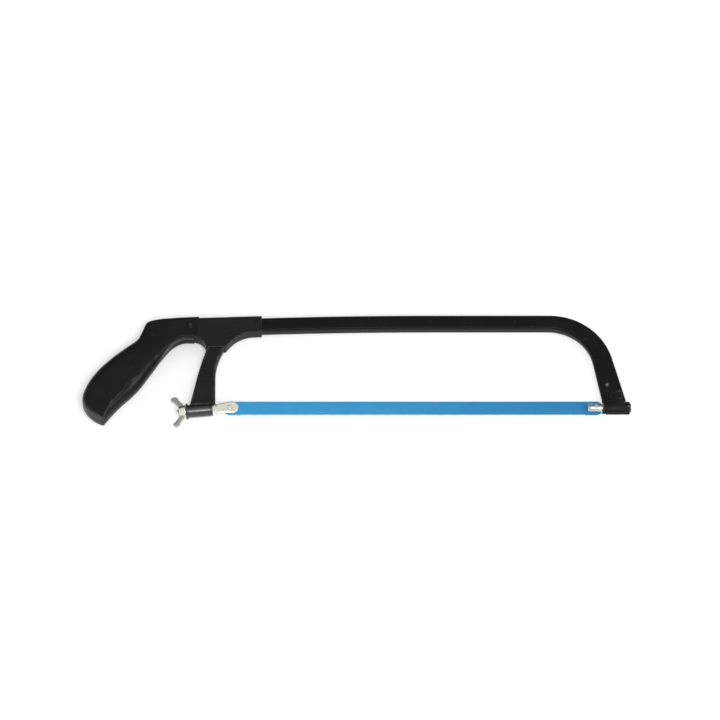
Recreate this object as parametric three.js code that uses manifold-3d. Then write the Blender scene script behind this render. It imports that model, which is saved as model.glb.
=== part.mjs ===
// Fixed-length hacksaw frame with a pistol grip and its blade, lying on its side, in millimetres.
// X runs along the blade to the nose, Y from the blade to the frame's back, Z up out of the saw's plane.
// Pieces are placed from the rear blade pin at the origin, and the whole is centred at the end.

import * as THREE from "three";
import { mergeVertices } from "three/addons/utils/BufferGeometryUtils.js";
import Module from "manifold-3d";

const { degToRad, lerp } = THREE.MathUtils;

// Clearances
const FIT = 0.3;
const SHEET_FIT = 0.2;
const PARTING_GAP = 0.2;

// Blade
const BLADE_PIN_SPACING = 300;
const BLADE_HEIGHT = 12;
const BLADE_THICKNESS = 0.65;
const BLADE_END_MARGIN = 5;
const BLADE_CORNER_RADIUS = 3.5;
const TOOTH_PITCH = 1.4;
const TOOTH_DEPTH = 0.7;
const TOOTH_FACE = 0.2;
const TOOTHLESS_END = 9;
const BLADE_PIN_DIAMETER = 3.6;
const BLADE_PIN_REACH = 4;

// Frame tube, pressed flat and flared towards the nose
const TUBE_HEIGHT = 11.8;
const TUBE_WIDTH = 10;
const TUBE_CORNER = 1.8;
const TUBE_WALL = 1.2;
const BACK_HEIGHT = 75.9;
const CAMBER = degToRad(1.9);
const CAMBER_RUN = 140;
const BEND_RADIUS = 45;
const FRONT_LEAN = degToRad(14);
const FOOT_HEIGHT = 19.6;
const FOOT_WIDTH = 6;
const FOOT_CORNER = 2.8;
const FOOT_CLEARANCE = 0.6;

// Bracket, a pressed shell round the tube
const SHEET = 0.9;
const MOUTH_X = 26;
const BRACKET_EDGE = 0.7;
const LIP_DROP = 23.3;
const LIP_REAR_X = -19.6;
const LIP_FRONT_X = -3.4;
const REAR_SLANT = 4;
const FILLET_START = 7;
const FILLET_DEPTH = 1.3;
const FILLET_REACH = 8.4;
const FINGER_FILLET = 1.6;
const FINGER_DROP = 1.2;
const SHOULDER_STEP = 0.5;
const TUBE_PIN_DIAMETER = 3;
const TUBE_PIN_SETBACK = 5;

// Rear leg
const LEG_THICKNESS = 9.6;
const LEG_EDGE = 1.6;
const LEG_FOOT_FRONT_X = -11.8;
const LEG_FOOT_WIDTH = 21;
const LEG_NECK = 26.6;
const LEG_FLARE = 14;
const LEG_SPREAD = 5.5;
const LEG_BOW = 3.7;
const LEG_INSET = 1.1;
const LEG_HEAD_SLOPE = 5;
const LEG_HEAD_STEP = 2;
const LEG_FOOT_DROP = 3.4;

// Holders and their bushes
const BUSH_DIAMETER = 10.7;
const SHANK = 6;
const TENSION_CANT = degToRad(5);
const BUSH_LENGTH = 20;
const BUSH_FRONT_X = -14;
const COLLAR_DIAMETER = 13;
const COLLAR_LENGTH = 1.9;
const BUSH_CHAMFER = 0.5;
const PADDLE_RADIUS = 5.2;
const PADDLE_TIP = 7.4;
const PADDLE_NECK_HEIGHT = 7;
const PADDLE_THICKNESS = 2.6;
const PADDLE_EDGE = 0.6;
const PADDLE_SETBACK = 1;
const PIN_RECESS = 0.4;
const THREAD_DIAMETER = 6;
const THREAD_LENGTH = 16;
const THREAD_OVERHANG = 1.8;
const NUT_LENGTH = 5.6;
const NUT_BASE_DIAMETER = 11.6;
const NUT_TOP_DIAMETER = 9;
const WING_SPAN = 27;
const WING_THICKNESS = 2.4;
const WING_TIP_RADIUS = 2.6;
const WING_SWEEP = 8;
const WING_SET_BACK = 0.8;
const WING_EDGE = 0.5;
const WING_BELLY = 1.3;
const WING_WAIST = 1.2;
const NUT_RIM = 1.2;
const NOSE_TRAVEL_GAP = 2.5;
const NOSE_LENGTH = 19.5;
const FOOT_SETBACK = 8.2;
const HALF_BAR_DIAMETER = 7;
const HALF_BAR_TIP = 7.3;
const SHANK_TIP = 1;
const SEAT_INSET = 2;
const TENON_LENGTH = 26;
const NOSE_RIVET_Y = 19.5;
const NOSE_RIVET_DIAMETER = 3.4;
const NOSE_RIVET_INSET = 2;
const NOSE_RIVET_FLARE_SHARE = 0.55;
const RIVET_BEDDING = 0.2;
const RETAINER_DIAMETER = 2.4;
const RETAINER_SLOT = 3;

// Handle, two moulded halves that clamp the tube's rear end
const HANDLE_FRONT_X = -28.5;
const HANDLE_LEAN = 3;
const GRIP_REACH = 92;
const GRIP_DROP = 83.7;
const GRIP_SWELL = 5;
const GRIP_EXPONENT = 3.8;
const GRIP_STEPS = 36;
const GRIP_SIDES = 12;
const HOLLOW_START_SHARE = 0.3;
const HOLLOW_END_SHARE = 0.86;
const TUBE_TANG = 20;
const HANDLE_ROOF = 1.9;
const HANDLE_FLOOR = 4.7;
const HANDLE_CHEEK = 3;
const HANDLE_WALL = 3;
const HANDLE_RIVET_DIAMETER = 3.6;
const HANDLE_RIVET_SETBACK = 4;
const SCREW_DIAMETER = 3.5;
const SCREW_HEAD_DIAMETER = 6.4;
const SCREW_HEAD_HEIGHT = 2.2;
const SCREW_SINK = 3;
const SCREW_BOSS_DIAMETER = 8.5;

// Finishes
const BLACK_PAINT = { color: 0x1c1c1d, roughness: 0.45, metalness: 0.3 };
const BLACK_PLASTIC = { color: 0x161715, roughness: 0.5, metalness: 0 };
const BRIGHT_ZINC = { color: 0xc9c6bb, roughness: 0.3, metalness: 0.9 };
const BLADE_PAINT = { color: 0x2f8fc4, roughness: 0.4, metalness: 0.2 };

// How far each cutter passes the faces that it cuts
const OVERCUT = 1;

// Sizes that follow from the driving dimensions
const BLADE_FACE_Z = -FIT;
const BLADE_HOLE_DIAMETER = BLADE_PIN_DIAMETER + 2 * FIT;
const NOSE_REAR_X = BLADE_PIN_SPACING + BLADE_END_MARGIN + NOSE_TRAVEL_GAP;
const NOSE_FRONT_X = NOSE_REAR_X + NOSE_LENGTH;
const FOOT_X = NOSE_REAR_X + FOOT_SETBACK;
const FOOT_Y = BLADE_HEIGHT / 2 + FOOT_CLEARANCE;
const LIP_Y = BACK_HEIGHT - LIP_DROP;
const LEG_WAIST_Y = LIP_Y - LEG_NECK;
const MOUTH_AXIS_Y = BACK_HEIGHT - CAMBER_RUN * Math.tan(CAMBER / 2);
const BRACKET_HALF_HEIGHT = TUBE_HEIGHT / 2 + SHEET_FIT + SHEET;
const BRACKET_THICKNESS = TUBE_WIDTH + 2 * (SHEET_FIT + SHEET);
const BUSH_REAR_X = BUSH_FRONT_X - BUSH_LENGTH - COLLAR_LENGTH;
const NUT_REAR_X = BUSH_REAR_X - FIT - NUT_LENGTH;
const TUBE_REAR_X = HANDLE_FRONT_X - TUBE_TANG;
const RETAINER_X = NOSE_FRONT_X - RETAINER_DIAMETER / 2;

const wasm = await Module();
wasm.setup();

/** Turns a closed geometry into a solid, with its faces pointing out. */
function solidOf(geometry) {
  const bare = geometry.clone();
  bare.deleteAttribute("normal");
  bare.deleteAttribute("uv");
  const merged = mergeVertices(bare, 1e-4);
  const points = merged.attributes.position.array;
  const faces = [];
  for (let i = 0; i < merged.index.count; i += 3) {
    const [a, b, c] = [0, 1, 2].map((corner) => merged.index.getX(i + corner));
    if (a !== b && b !== c && c !== a) faces.push([a, b, c]);
  }
  const corner = (index) => new THREE.Vector3().fromArray(points, 3 * index);
  const volume = faces.reduce((sum, [a, b, c]) => sum + corner(a).dot(corner(b).cross(corner(c))), 0);
  const outward = volume > 0 ? faces : faces.map(([a, b, c]) => [a, c, b]);
  const mesh = new wasm.Mesh({
    numProp: 3,
    vertProperties: new Float32Array(points),
    triVerts: new Uint32Array(outward.flat()),
  });
  return new wasm.Manifold(mesh);
}

/** Gives a solid its three.js geometry. */
function geometryOf(solid) {
  const mesh = solid.getMesh();
  const geometry = new THREE.BufferGeometry();
  geometry.setAttribute("position", new THREE.BufferAttribute(mesh.vertProperties, 3));
  geometry.setIndex(new THREE.BufferAttribute(mesh.triVerts, 1));
  const flat = geometry.toNonIndexed();
  flat.computeVertexNormals();
  return flat;
}

/** The same solid, turned about Z and then moved in the saw's plane. */
function moved(solid, x, y, turn = 0) {
  const geometry = geometryOf(solid);
  geometry.rotateZ(turn);
  geometry.translate(x, y, 0);
  return solidOf(geometry);
}

const cut = (body, ...tools) => tools.reduce((rest, tool) => rest.subtract(tool), body);
const join = (body, ...others) => others.reduce((sum, other) => sum.add(other), body);

/** Closed skin over rings of points, either capped at both ends or looped back on itself. */
function skin(rings, looped = false) {
  const size = rings[0].length;
  const points = rings.flat();
  const index = [];
  const spans = looped ? rings.length : rings.length - 1;
  for (let ring = 0; ring < spans; ring += 1) {
    const next = (ring + 1) % rings.length;
    for (let i = 0; i < size; i += 1) {
      const j = (i + 1) % size;
      const [a, b, c, d] = [ring * size + i, ring * size + j, next * size + j, next * size + i];
      index.push(a, b, c, a, c, d);
    }
  }
  if (!looped) {
    for (const [start, flip] of [[0, true], [(rings.length - 1) * size, false]]) {
      const middle = new THREE.Vector3();
      points.slice(start, start + size).forEach((point) => middle.addScaledVector(point, 1 / size));
      points.push(middle);
      for (let i = 0; i < size; i += 1) {
        const edge = [start + i, start + ((i + 1) % size)];
        index.push(points.length - 1, ...(flip ? edge.reverse() : edge));
      }
    }
  }
  const geometry = new THREE.BufferGeometry().setFromPoints(points);
  geometry.setIndex(index);
  return solidOf(geometry);
}

/** Prism of an XY outline between two heights, its rims rounded by edge. */
function prism(shape, bottom, top, { edge = 0, curveSegments = 8, edgeSegments = 2 } = {}) {
  const geometry = new THREE.ExtrudeGeometry(shape, {
    depth: top - bottom - 2 * edge,
    bevelEnabled: edge > 0,
    bevelSize: edge,
    bevelThickness: edge,
    bevelOffset: -edge,
    bevelSegments: edgeSegments,
    curveSegments,
  });
  geometry.translate(0, 0, bottom + edge);
  return solidOf(geometry);
}

/** Body turned about the X axis from a closed profile of [x, radius] corners. */
function turned(profile, segments = 28) {
  const corners = [...profile, profile[0]].map(([x, radius]) => new THREE.Vector2(radius, x));
  const geometry = new THREE.LatheGeometry(corners, segments);
  geometry.rotateZ(-Math.PI / 2);
  return solidOf(geometry);
}

/** Round pin along Z. */
function pinAlongZ(x, y, diameter, bottom, top, segments = 20) {
  const geometry = new THREE.CylinderGeometry(diameter / 2, diameter / 2, top - bottom, segments);
  geometry.rotateX(Math.PI / 2);
  geometry.translate(x, y, (top + bottom) / 2);
  return solidOf(geometry);
}

/** Round bar on the X axis. */
function barAlongX(rear, front, diameter, segments = 28) {
  return turned([[rear, 0], [front, 0], [front, diameter / 2], [rear, diameter / 2]], segments);
}

/** Box between two corners. */
function block(low, high) {
  const geometry = new THREE.BoxGeometry(...high.map((value, axis) => value - low[axis]));
  geometry.translate(...high.map((value, axis) => (value + low[axis]) / 2));
  return solidOf(geometry);
}

/** Square bar on the X axis. */
function squareAlongX(rear, front, side) {
  return block([rear, -side / 2, -side / 2], [front, side / 2, side / 2]);
}

/** Headed fastener along Z: a shank with a low dome at each listed end. */
function rivet(x, y, diameter, bottom, top, domes) {
  const dome = { radius: diameter * 0.75, height: diameter * 0.22 };
  const heads = domes.map((side) => {
    const face = side > 0 ? top : bottom;
    const profile = [
      new THREE.Vector2(0, 0),
      new THREE.Vector2(dome.radius, 0),
      new THREE.Vector2(dome.radius * 0.72, dome.height * 0.75),
      new THREE.Vector2(0, dome.height),
    ];
    const geometry = new THREE.LatheGeometry(profile, 20);
    geometry.rotateX((side * Math.PI) / 2);
    geometry.translate(x, y, face);
    return solidOf(geometry);
  });
  return join(pinAlongZ(x, y, diameter, bottom, top), ...heads);
}

const materials = new Map();

/** Named sub-part with one of the finishes. */
function piece(name, solid, finish) {
  if (!materials.has(finish)) materials.set(finish, new THREE.MeshStandardMaterial(finish));
  const mesh = new THREE.Mesh(geometryOf(solid), materials.get(finish));
  mesh.name = name;
  return mesh;
}

/** Height of the tube's axis at its straight rear end. */
function rearAxisY(x) {
  return MOUTH_AXIS_Y - (MOUTH_X - x) * Math.tan(CAMBER);
}

/** Centre line of the tube, from its end in the handle to its foot, with how far it has flared. */
function tubeStations() {
  const stations = [TUBE_REAR_X, MOUTH_X].map((x) => ({ x, y: rearAxisY(x), angle: CAMBER, flare: 0 }));
  const camberRadius = CAMBER_RUN / Math.sin(CAMBER);
  for (const angle of [0.75, 0.5, 0.25, 0].map((share) => share * CAMBER)) {
    stations.push({
      x: MOUTH_X + CAMBER_RUN - camberRadius * Math.sin(angle),
      y: BACK_HEIGHT - camberRadius * (1 - Math.cos(angle)),
      angle,
      flare: 0,
    });
  }
  const turn = Math.PI / 2 - FRONT_LEAN;
  const bendEndY = BACK_HEIGHT - BEND_RADIUS * (1 - Math.cos(turn));
  const bendStartX = FOOT_X - bendEndY * Math.tan(FRONT_LEAN) - BEND_RADIUS * Math.sin(turn);
  const bendLength = BEND_RADIUS * turn;
  const flareLength = bendLength + bendEndY / Math.cos(FRONT_LEAN);
  const bendSteps = 14;
  for (let step = 0; step <= bendSteps; step += 1) {
    const angle = (turn * step) / bendSteps;
    stations.push({
      x: bendStartX + BEND_RADIUS * Math.sin(angle),
      y: BACK_HEIGHT - BEND_RADIUS * (1 - Math.cos(angle)),
      angle: -angle,
      flare: (BEND_RADIUS * angle) / flareLength,
    });
  }
  stations.push({ x: FOOT_X, y: 0, angle: -turn, flare: 1 });
  return stations;
}

/** Rounded-rectangle section of the tube at a station, grown or shrunk by offset. */
function tubeRing({ x, y, angle, flare }, offset) {
  const height = lerp(TUBE_HEIGHT, FOOT_HEIGHT, flare) / 2 + offset;
  const width = lerp(TUBE_WIDTH, FOOT_WIDTH, flare) / 2 + offset;
  const corner = Math.max(lerp(TUBE_CORNER, FOOT_CORNER, flare) + offset, 0.4);
  const cornerSteps = 3;
  const ring = [];
  for (const [up, out] of [[1, 1], [-1, 1], [-1, -1], [1, -1]]) {
    const quarter = Math.atan2(out, up) - Math.PI / 4;
    for (let step = 0; step <= cornerSteps; step += 1) {
      const turn = quarter + (Math.PI / 2) * (step / cornerSteps);
      const across = up * (height - corner) + corner * Math.cos(turn);
      const z = out * (width - corner) + corner * Math.sin(turn);
      ring.push(new THREE.Vector3(x - across * Math.sin(angle), y + across * Math.cos(angle), z));
    }
  }
  return ring;
}

/** Solid that the tube's straight rear end fills, with room round it. */
function tubeRearRoom(clearance, rear = TUBE_REAR_X - clearance) {
  const ends = [rear, MOUTH_X + OVERCUT].map((x) => ({ x, y: rearAxisY(x), angle: CAMBER, flare: 0 }));
  return skin(ends.map((station) => tubeRing(station, clearance)));
}

/** Place of the rivet on the tube's front leg. */
function noseRivetX() {
  return FOOT_X - NOSE_RIVET_Y * Math.tan(FRONT_LEAN) - NOSE_RIVET_INSET;
}

const tubePinPlace = [MOUTH_X - TUBE_PIN_SETBACK, rearAxisY(MOUTH_X - TUBE_PIN_SETBACK)];
const handleRivetX = HANDLE_FRONT_X - HANDLE_RIVET_SETBACK;
const handleRivetPlace = [handleRivetX, rearAxisY(handleRivetX)];

/** Bent tube, hollow, cut level above the nose and drilled for its pins. */
function frameTube() {
  const stations = tubeStations();
  const outside = stations.map((station) => tubeRing(station, 0));
  const inside = stations.map((station) => tubeRing(station, -TUBE_WALL)).reverse();
  const below = block(
    [FOOT_X - FOOT_HEIGHT, -FOOT_HEIGHT, -TUBE_WIDTH],
    [FOOT_X + FOOT_HEIGHT, FOOT_Y, TUBE_WIDTH],
  );
  const hole = (place, diameter) => pinAlongZ(...place, diameter + 2 * FIT, -TUBE_WIDTH, TUBE_WIDTH);
  return cut(
    skin([...outside, ...inside], true),
    below,
    hole(tubePinPlace, TUBE_PIN_DIAMETER),
    hole(handleRivetPlace, HANDLE_RIVET_DIAMETER),
    hole([noseRivetX(), NOSE_RIVET_Y], NOSE_RIVET_DIAMETER),
  );
}

/** Outline of the bracket, drawn in from its edges by inset. */
function bracketOutline(inset) {
  const roof = (x) => rearAxisY(x) + BRACKET_HALF_HEIGHT - inset;
  const floor = (x) => rearAxisY(x) - BRACKET_HALF_HEIGHT + inset;
  const rearTop = HANDLE_FRONT_X + HANDLE_LEAN + FIT + inset;
  const rearLow = rearTop - REAR_SLANT;
  const lowY = rearAxisY(HANDLE_FRONT_X) - TUBE_HEIGHT / 2 - HANDLE_FLOOR + SHOULDER_STEP + inset;
  const mouth = MOUTH_X - inset;
  const shape = new THREE.Shape();
  shape.moveTo(mouth, floor(mouth));
  shape.lineTo(mouth, roof(mouth));
  shape.lineTo(rearTop, roof(rearTop));
  shape.lineTo(rearLow, lowY);
  shape.quadraticCurveTo(LIP_REAR_X - FINGER_FILLET + inset, lowY - FINGER_DROP, LIP_REAR_X + inset, LIP_Y + inset);
  shape.lineTo(LIP_FRONT_X - inset, LIP_Y + inset);
  const filletX = mouth - FILLET_START;
  shape.quadraticCurveTo(
    LIP_FRONT_X + FILLET_REACH - inset,
    floor(mouth) - FILLET_DEPTH,
    filletX,
    floor(filletX),
  );
  return shape;
}

/** Outline of the rear leg, from its foot on the bush up into the bracket, grown by offset. */
function legOutline(offset) {
  const footRear = LEG_FOOT_FRONT_X - LEG_FOOT_WIDTH - offset;
  const footFront = LEG_FOOT_FRONT_X + offset;
  const footY = footRear * Math.sin(TENSION_CANT) + LEG_FOOT_DROP;
  const top = rearAxisY(LIP_REAR_X) - TUBE_HEIGHT / 2 - FIT;
  const shape = new THREE.Shape();
  shape.moveTo(footRear, footY);
  shape.lineTo(footFront, footY);
  shape.lineTo(footFront, LEG_WAIST_Y);
  const headFront = LIP_FRONT_X - LEG_INSET + offset;
  const headRear = LIP_REAR_X + LEG_INSET + SHEET_FIT * 2 - offset;
  const flareY = LEG_WAIST_Y + LEG_FLARE;
  shape.quadraticCurveTo(footFront, flareY, headFront, LIP_Y);
  shape.lineTo(headFront, top - LEG_HEAD_SLOPE);
  shape.lineTo(headRear, top);
  shape.lineTo(headRear, LIP_Y + LEG_HEAD_STEP);
  shape.quadraticCurveTo(footRear + LEG_SPREAD + LEG_BOW, flareY, footRear + LEG_SPREAD, LEG_WAIST_Y - LEG_HEAD_STEP);
  return shape;
}

/** Pressed bracket, open at its mouth, its rear and its lower lip. */
function bracket() {
  const half = BRACKET_THICKNESS / 2;
  const roomHalf = half - SHEET;
  const legRoom = prism(legOutline(FIT), -roomHalf, roomHalf);
  return cut(
    prism(bracketOutline(0), -half, half, { edge: BRACKET_EDGE, curveSegments: 10 }),
    prism(bracketOutline(SHEET), -roomHalf, roomHalf, { curveSegments: 10 }),
    tubeRearRoom(SHEET_FIT),
    legRoom,
    pinAlongZ(...tubePinPlace, TUBE_PIN_DIAMETER + 2 * FIT, -half - OVERCUT, half + OVERCUT),
  );
}

/** Rear leg with its saddle on the guide bush, its top seated under the tube. */
function rearLeg() {
  const half = LEG_THICKNESS / 2;
  return cut(
    prism(legOutline(0), -half, half, { edge: LEG_EDGE, edgeSegments: 3 }),
    moved(barAlongX(BUSH_REAR_X - OVERCUT, 0, BUSH_DIAMETER + 2 * FIT), 0, 0, TENSION_CANT),
    tubeRearRoom(FIT),
  );
}

/** Flanged bush with the square bore that keeps the tension bolt from turning. */
function guideBush() {
  const radius = BUSH_DIAMETER / 2;
  const collar = COLLAR_DIAMETER / 2;
  const collarFront = BUSH_REAR_X + COLLAR_LENGTH;
  const body = turned([
    [BUSH_REAR_X, 0],
    [BUSH_FRONT_X, 0],
    [BUSH_FRONT_X, radius - BUSH_CHAMFER],
    [BUSH_FRONT_X - BUSH_CHAMFER, radius],
    [collarFront, radius],
    [collarFront, collar],
    [BUSH_REAR_X, collar],
  ]);
  return cut(body, squareAlongX(BUSH_REAR_X - OVERCUT, BUSH_FRONT_X + OVERCUT, SHANK + 2 * FIT));
}

/** Tension bolt: threaded tail, square shank and the paddle that carries the blade's rear pin. */
function tensionBolt() {
  const tail = NUT_REAR_X - THREAD_OVERHANG;
  const shankRear = tail + THREAD_LENGTH;
  const neck = BUSH_FRONT_X + PADDLE_SETBACK;
  const shankFront = neck + SHANK / 2;
  const paddle = new THREE.Shape();
  const tipCentre = PADDLE_TIP - PADDLE_RADIUS;
  paddle.moveTo(neck, -PADDLE_NECK_HEIGHT / 2);
  paddle.lineTo(tipCentre, -PADDLE_RADIUS);
  paddle.absarc(tipCentre, 0, PADDLE_RADIUS, -Math.PI / 2, Math.PI / 2);
  paddle.lineTo(neck, PADDLE_NECK_HEIGHT / 2);
  return cut(
    join(
      barAlongX(tail, shankRear + OVERCUT, THREAD_DIAMETER - 2 * FIT),
      squareAlongX(shankRear, shankFront, SHANK),
      prism(paddle, 0, PADDLE_THICKNESS, { edge: PADDLE_EDGE, curveSegments: 16 }),
    ),
    pinAlongZ(0, 0, BLADE_PIN_DIAMETER + FIT, -OVERCUT, PADDLE_THICKNESS + OVERCUT),
  );
}

/** Wing nut seated behind the bush, its wings swept to the rear. */
function wingNut() {
  const seat = BUSH_REAR_X - FIT;
  const base = NUT_BASE_DIAMETER / 2;
  const top = NUT_TOP_DIAMETER / 2;
  const hub = turned([[NUT_REAR_X, 0], [seat, 0], [seat, base], [seat - NUT_RIM, base], [NUT_REAR_X, top]]);
  const reach = WING_SPAN / 2 - WING_TIP_RADIUS;
  const tip = [seat - WING_SWEEP, reach];
  const wingFront = seat - WING_SET_BACK;
  const wingRear = NUT_REAR_X + WING_SET_BACK / 2;
  const wings = [1, -1].map((side) => {
    const shape = new THREE.Shape();
    shape.moveTo(wingFront, 0);
    shape.lineTo(wingFront, side * (base - NUT_RIM));
    shape.quadraticCurveTo(wingFront - NUT_RIM, side * base * WING_BELLY, tip[0] + WING_TIP_RADIUS, side * reach);
    shape.absarc(tip[0], side * tip[1], WING_TIP_RADIUS, 0, side * Math.PI, side < 0);
    shape.quadraticCurveTo(wingRear - NUT_RIM, side * base * WING_WAIST, wingRear, side * (top - NUT_RIM));
    shape.lineTo(wingRear, 0);
    return prism(shape, -WING_THICKNESS / 2, WING_THICKNESS / 2, { edge: WING_EDGE });
  });
  return cut(join(hub, ...wings), barAlongX(NUT_REAR_X - OVERCUT, seat + OVERCUT, THREAD_DIAMETER + FIT / 2));
}

/** Blade with a row of teeth on its free edge and a hole at each end. */
function blade() {
  const half = BLADE_HEIGHT / 2;
  const rear = -BLADE_END_MARGIN;
  const front = BLADE_PIN_SPACING + BLADE_END_MARGIN;
  const radius = BLADE_CORNER_RADIUS;
  const shape = new THREE.Shape();
  shape.absarc(rear + radius, -half + radius, radius, Math.PI, Math.PI * 1.5);
  const toothCount = Math.floor((BLADE_PIN_SPACING - 2 * TOOTHLESS_END) / TOOTH_PITCH);
  const firstTooth = (BLADE_PIN_SPACING - toothCount * TOOTH_PITCH) / 2;
  for (let tooth = 0; tooth < toothCount; tooth += 1) {
    const heel = firstTooth + tooth * TOOTH_PITCH;
    shape.lineTo(heel, -half);
    shape.lineTo(heel + TOOTH_PITCH * TOOTH_FACE, -half + TOOTH_DEPTH);
  }
  shape.lineTo(firstTooth + toothCount * TOOTH_PITCH, -half);
  shape.absarc(front - radius, -half + radius, radius, -Math.PI / 2, 0);
  shape.absarc(front - radius, half - radius, radius, 0, Math.PI / 2);
  shape.absarc(rear + radius, half - radius, radius, Math.PI / 2, Math.PI);
  for (const x of [0, BLADE_PIN_SPACING]) {
    shape.holes.push(new THREE.Path().absarc(x, 0, BLADE_HOLE_DIAMETER / 2, 0, Math.PI * 2));
  }
  return prism(shape, BLADE_FACE_Z - BLADE_THICKNESS, BLADE_FACE_Z, { curveSegments: 5 });
}

/** Pin that hangs the blade, its end just below the near face of its holder. */
function bladePin(x, face) {
  return pinAlongZ(x, 0, BLADE_PIN_DIAMETER, -BLADE_PIN_REACH, face - PIN_RECESS);
}

/** Front holder: half-cut round bar in front of the blade, and a square shank through the nose. */
function frontHolder() {
  const rear = BLADE_PIN_SPACING - HALF_BAR_TIP;
  const head = NOSE_REAR_X - NOSE_TRAVEL_GAP;
  const radius = HALF_BAR_DIAMETER / 2;
  const flat = block([rear - OVERCUT, -radius, -radius], [head - OVERCUT, radius, 0]);
  const tip = NOSE_FRONT_X + SHANK_TIP;
  return cut(
    join(
      cut(barAlongX(rear, head, HALF_BAR_DIAMETER), flat),
      squareAlongX(head - OVERCUT, tip, SHANK),
    ),
    block([rear - OVERCUT, -SHANK, -SHANK], [BLADE_PIN_SPACING + BLADE_END_MARGIN + FIT, SHANK, 0]),
    pinAlongZ(BLADE_PIN_SPACING, 0, BLADE_PIN_DIAMETER + FIT, -OVERCUT, HALF_BAR_DIAMETER),
    pinAlongZ(RETAINER_X, 0, RETAINER_DIAMETER + FIT, -SHANK, SHANK),
  );
}

/** Cross pin that sits in the nose's slots and holds the front holder against the blade's pull. */
function frontRetainer() {
  const reach = BUSH_DIAMETER / 2 - FIT;
  return pinAlongZ(RETAINER_X, 0, RETAINER_DIAMETER, -reach, reach);
}

/** Nose block: square-bored bush, cross-slotted at its outer end, with a tenon up into the tube. */
function noseBlock() {
  const reach = BUSH_DIAMETER / 2 + OVERCUT;
  const lean = Math.tan(FRONT_LEAN);
  const tenonHalf = FOOT_WIDTH / 2 - TUBE_WALL - FIT;
  const seatHalf = FOOT_HEIGHT / (2 * Math.cos(FRONT_LEAN)) - SEAT_INSET;
  const tenonWidth = TUBE_HEIGHT / 2 - TUBE_WALL - FIT;
  const seat = new THREE.Shape();
  const seatX = FOOT_X - FOOT_Y * lean;
  seat.moveTo(NOSE_REAR_X, 0);
  seat.lineTo(NOSE_FRONT_X - RETAINER_SLOT, 0);
  seat.lineTo(Math.min(seatX + seatHalf, NOSE_FRONT_X - RETAINER_SLOT), FOOT_Y - FIT);
  seat.lineTo(Math.max(seatX - seatHalf, NOSE_REAR_X), FOOT_Y - FIT);
  const tenon = new THREE.Shape();
  const tenonTop = FOOT_Y + TENON_LENGTH;
  tenon.moveTo(FOOT_X - tenonWidth, 0);
  tenon.lineTo(FOOT_X + tenonWidth, 0);
  tenon.lineTo(FOOT_X + tenonWidth - tenonTop * lean, tenonTop);
  tenon.lineTo(FOOT_X - tenonWidth - tenonTop * lean, tenonTop);
  const slotRear = NOSE_FRONT_X - RETAINER_SLOT;
  const slotFront = NOSE_FRONT_X + OVERCUT;
  const slotHalf = RETAINER_DIAMETER / 2 + FIT;
  return cut(
    join(
      barAlongX(NOSE_REAR_X, NOSE_FRONT_X, BUSH_DIAMETER),
      prism(seat, -FOOT_WIDTH / 2, FOOT_WIDTH / 2),
      prism(tenon, -tenonHalf, tenonHalf),
    ),
    squareAlongX(NOSE_REAR_X - OVERCUT, NOSE_FRONT_X + OVERCUT, SHANK + 2 * FIT),
    block([slotRear, -slotHalf, -reach], [slotFront, slotHalf, reach]),
    block([slotRear, -reach, -slotHalf], [slotFront, reach, slotHalf]),
    pinAlongZ(noseRivetX(), NOSE_RIVET_Y, NOSE_RIVET_DIAMETER + 2 * FIT, -FOOT_WIDTH, FOOT_WIDTH),
  );
}

/** Rivet through the tube's front leg and the nose's tenon. */
function noseRivet() {
  const { flare } = tubeStations().reduce((low, station) => (station.y > NOSE_RIVET_Y ? station : low));
  const reach = lerp(TUBE_WIDTH, FOOT_WIDTH, lerp(flare, 1, NOSE_RIVET_FLARE_SHARE)) / 2 + RIVET_BEDDING;
  return rivet(noseRivetX(), NOSE_RIVET_Y, NOSE_RIVET_DIAMETER, -reach, reach, [1, -1]);
}

/** Sections along the grip: a point on its back, one on its finger side, and half its thickness. */
function handleStations() {
  const roof = TUBE_HEIGHT / 2 + HANDLE_ROOF;
  const floor = -TUBE_HEIGHT / 2 - HANDLE_FLOOR;
  const half = TUBE_WIDTH / 2 + HANDLE_CHEEK;
  const point = (reach, y) => [-reach * GRIP_REACH, y];
  const at = (drop) => -drop * GRIP_DROP;
  const station = (back, finger, swell) => ({ back, finger, half: half + swell * GRIP_SWELL });
  return [
    station([HANDLE_LEAN, roof], [HANDLE_LEAN - REAR_SLANT, floor], 0),
    station(point(0.1793, roof + at(0.0131)), point(0.1087, floor + at(0.00239)), 0),
    station(point(0.3478, roof + at(0.0335)), point(0.1957, floor + at(0.0526)), 0.06),
    station(point(0.4293, roof + at(0.0645)), point(0.2467, at(0.2425)), 0.16),
    station(point(0.4685, at(0.05376)), point(0.3011, at(0.3345)), 0.36),
    station(point(0.5109, at(0.1434)), point(0.3554, at(0.4301)), 0.6),
    station(point(0.6141, at(0.2366)), point(0.4152, at(0.5257)), 0.86),
    station(point(0.7478, at(0.3572)), point(0.4826, at(0.6356)), 1),
    station(point(0.8804, at(0.5066)), point(0.5663, at(0.7384)), 1),
    station(point(0.9674, at(0.6583)), point(0.6435, at(0.8196)), 1),
    station(point(1, at(0.7885)), point(0.7076, at(0.8949)), 0.96),
    station(point(0.9717, at(0.8793)), point(0.7554, at(0.9558)), 0.84),
    station(point(0.9043, at(0.9486)), point(0.7826, at(0.9892)), 0.6),
    station(point(0.8283, at(0.994)), point(0.8043, at(1)), 0.2),
  ];
}

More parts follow.
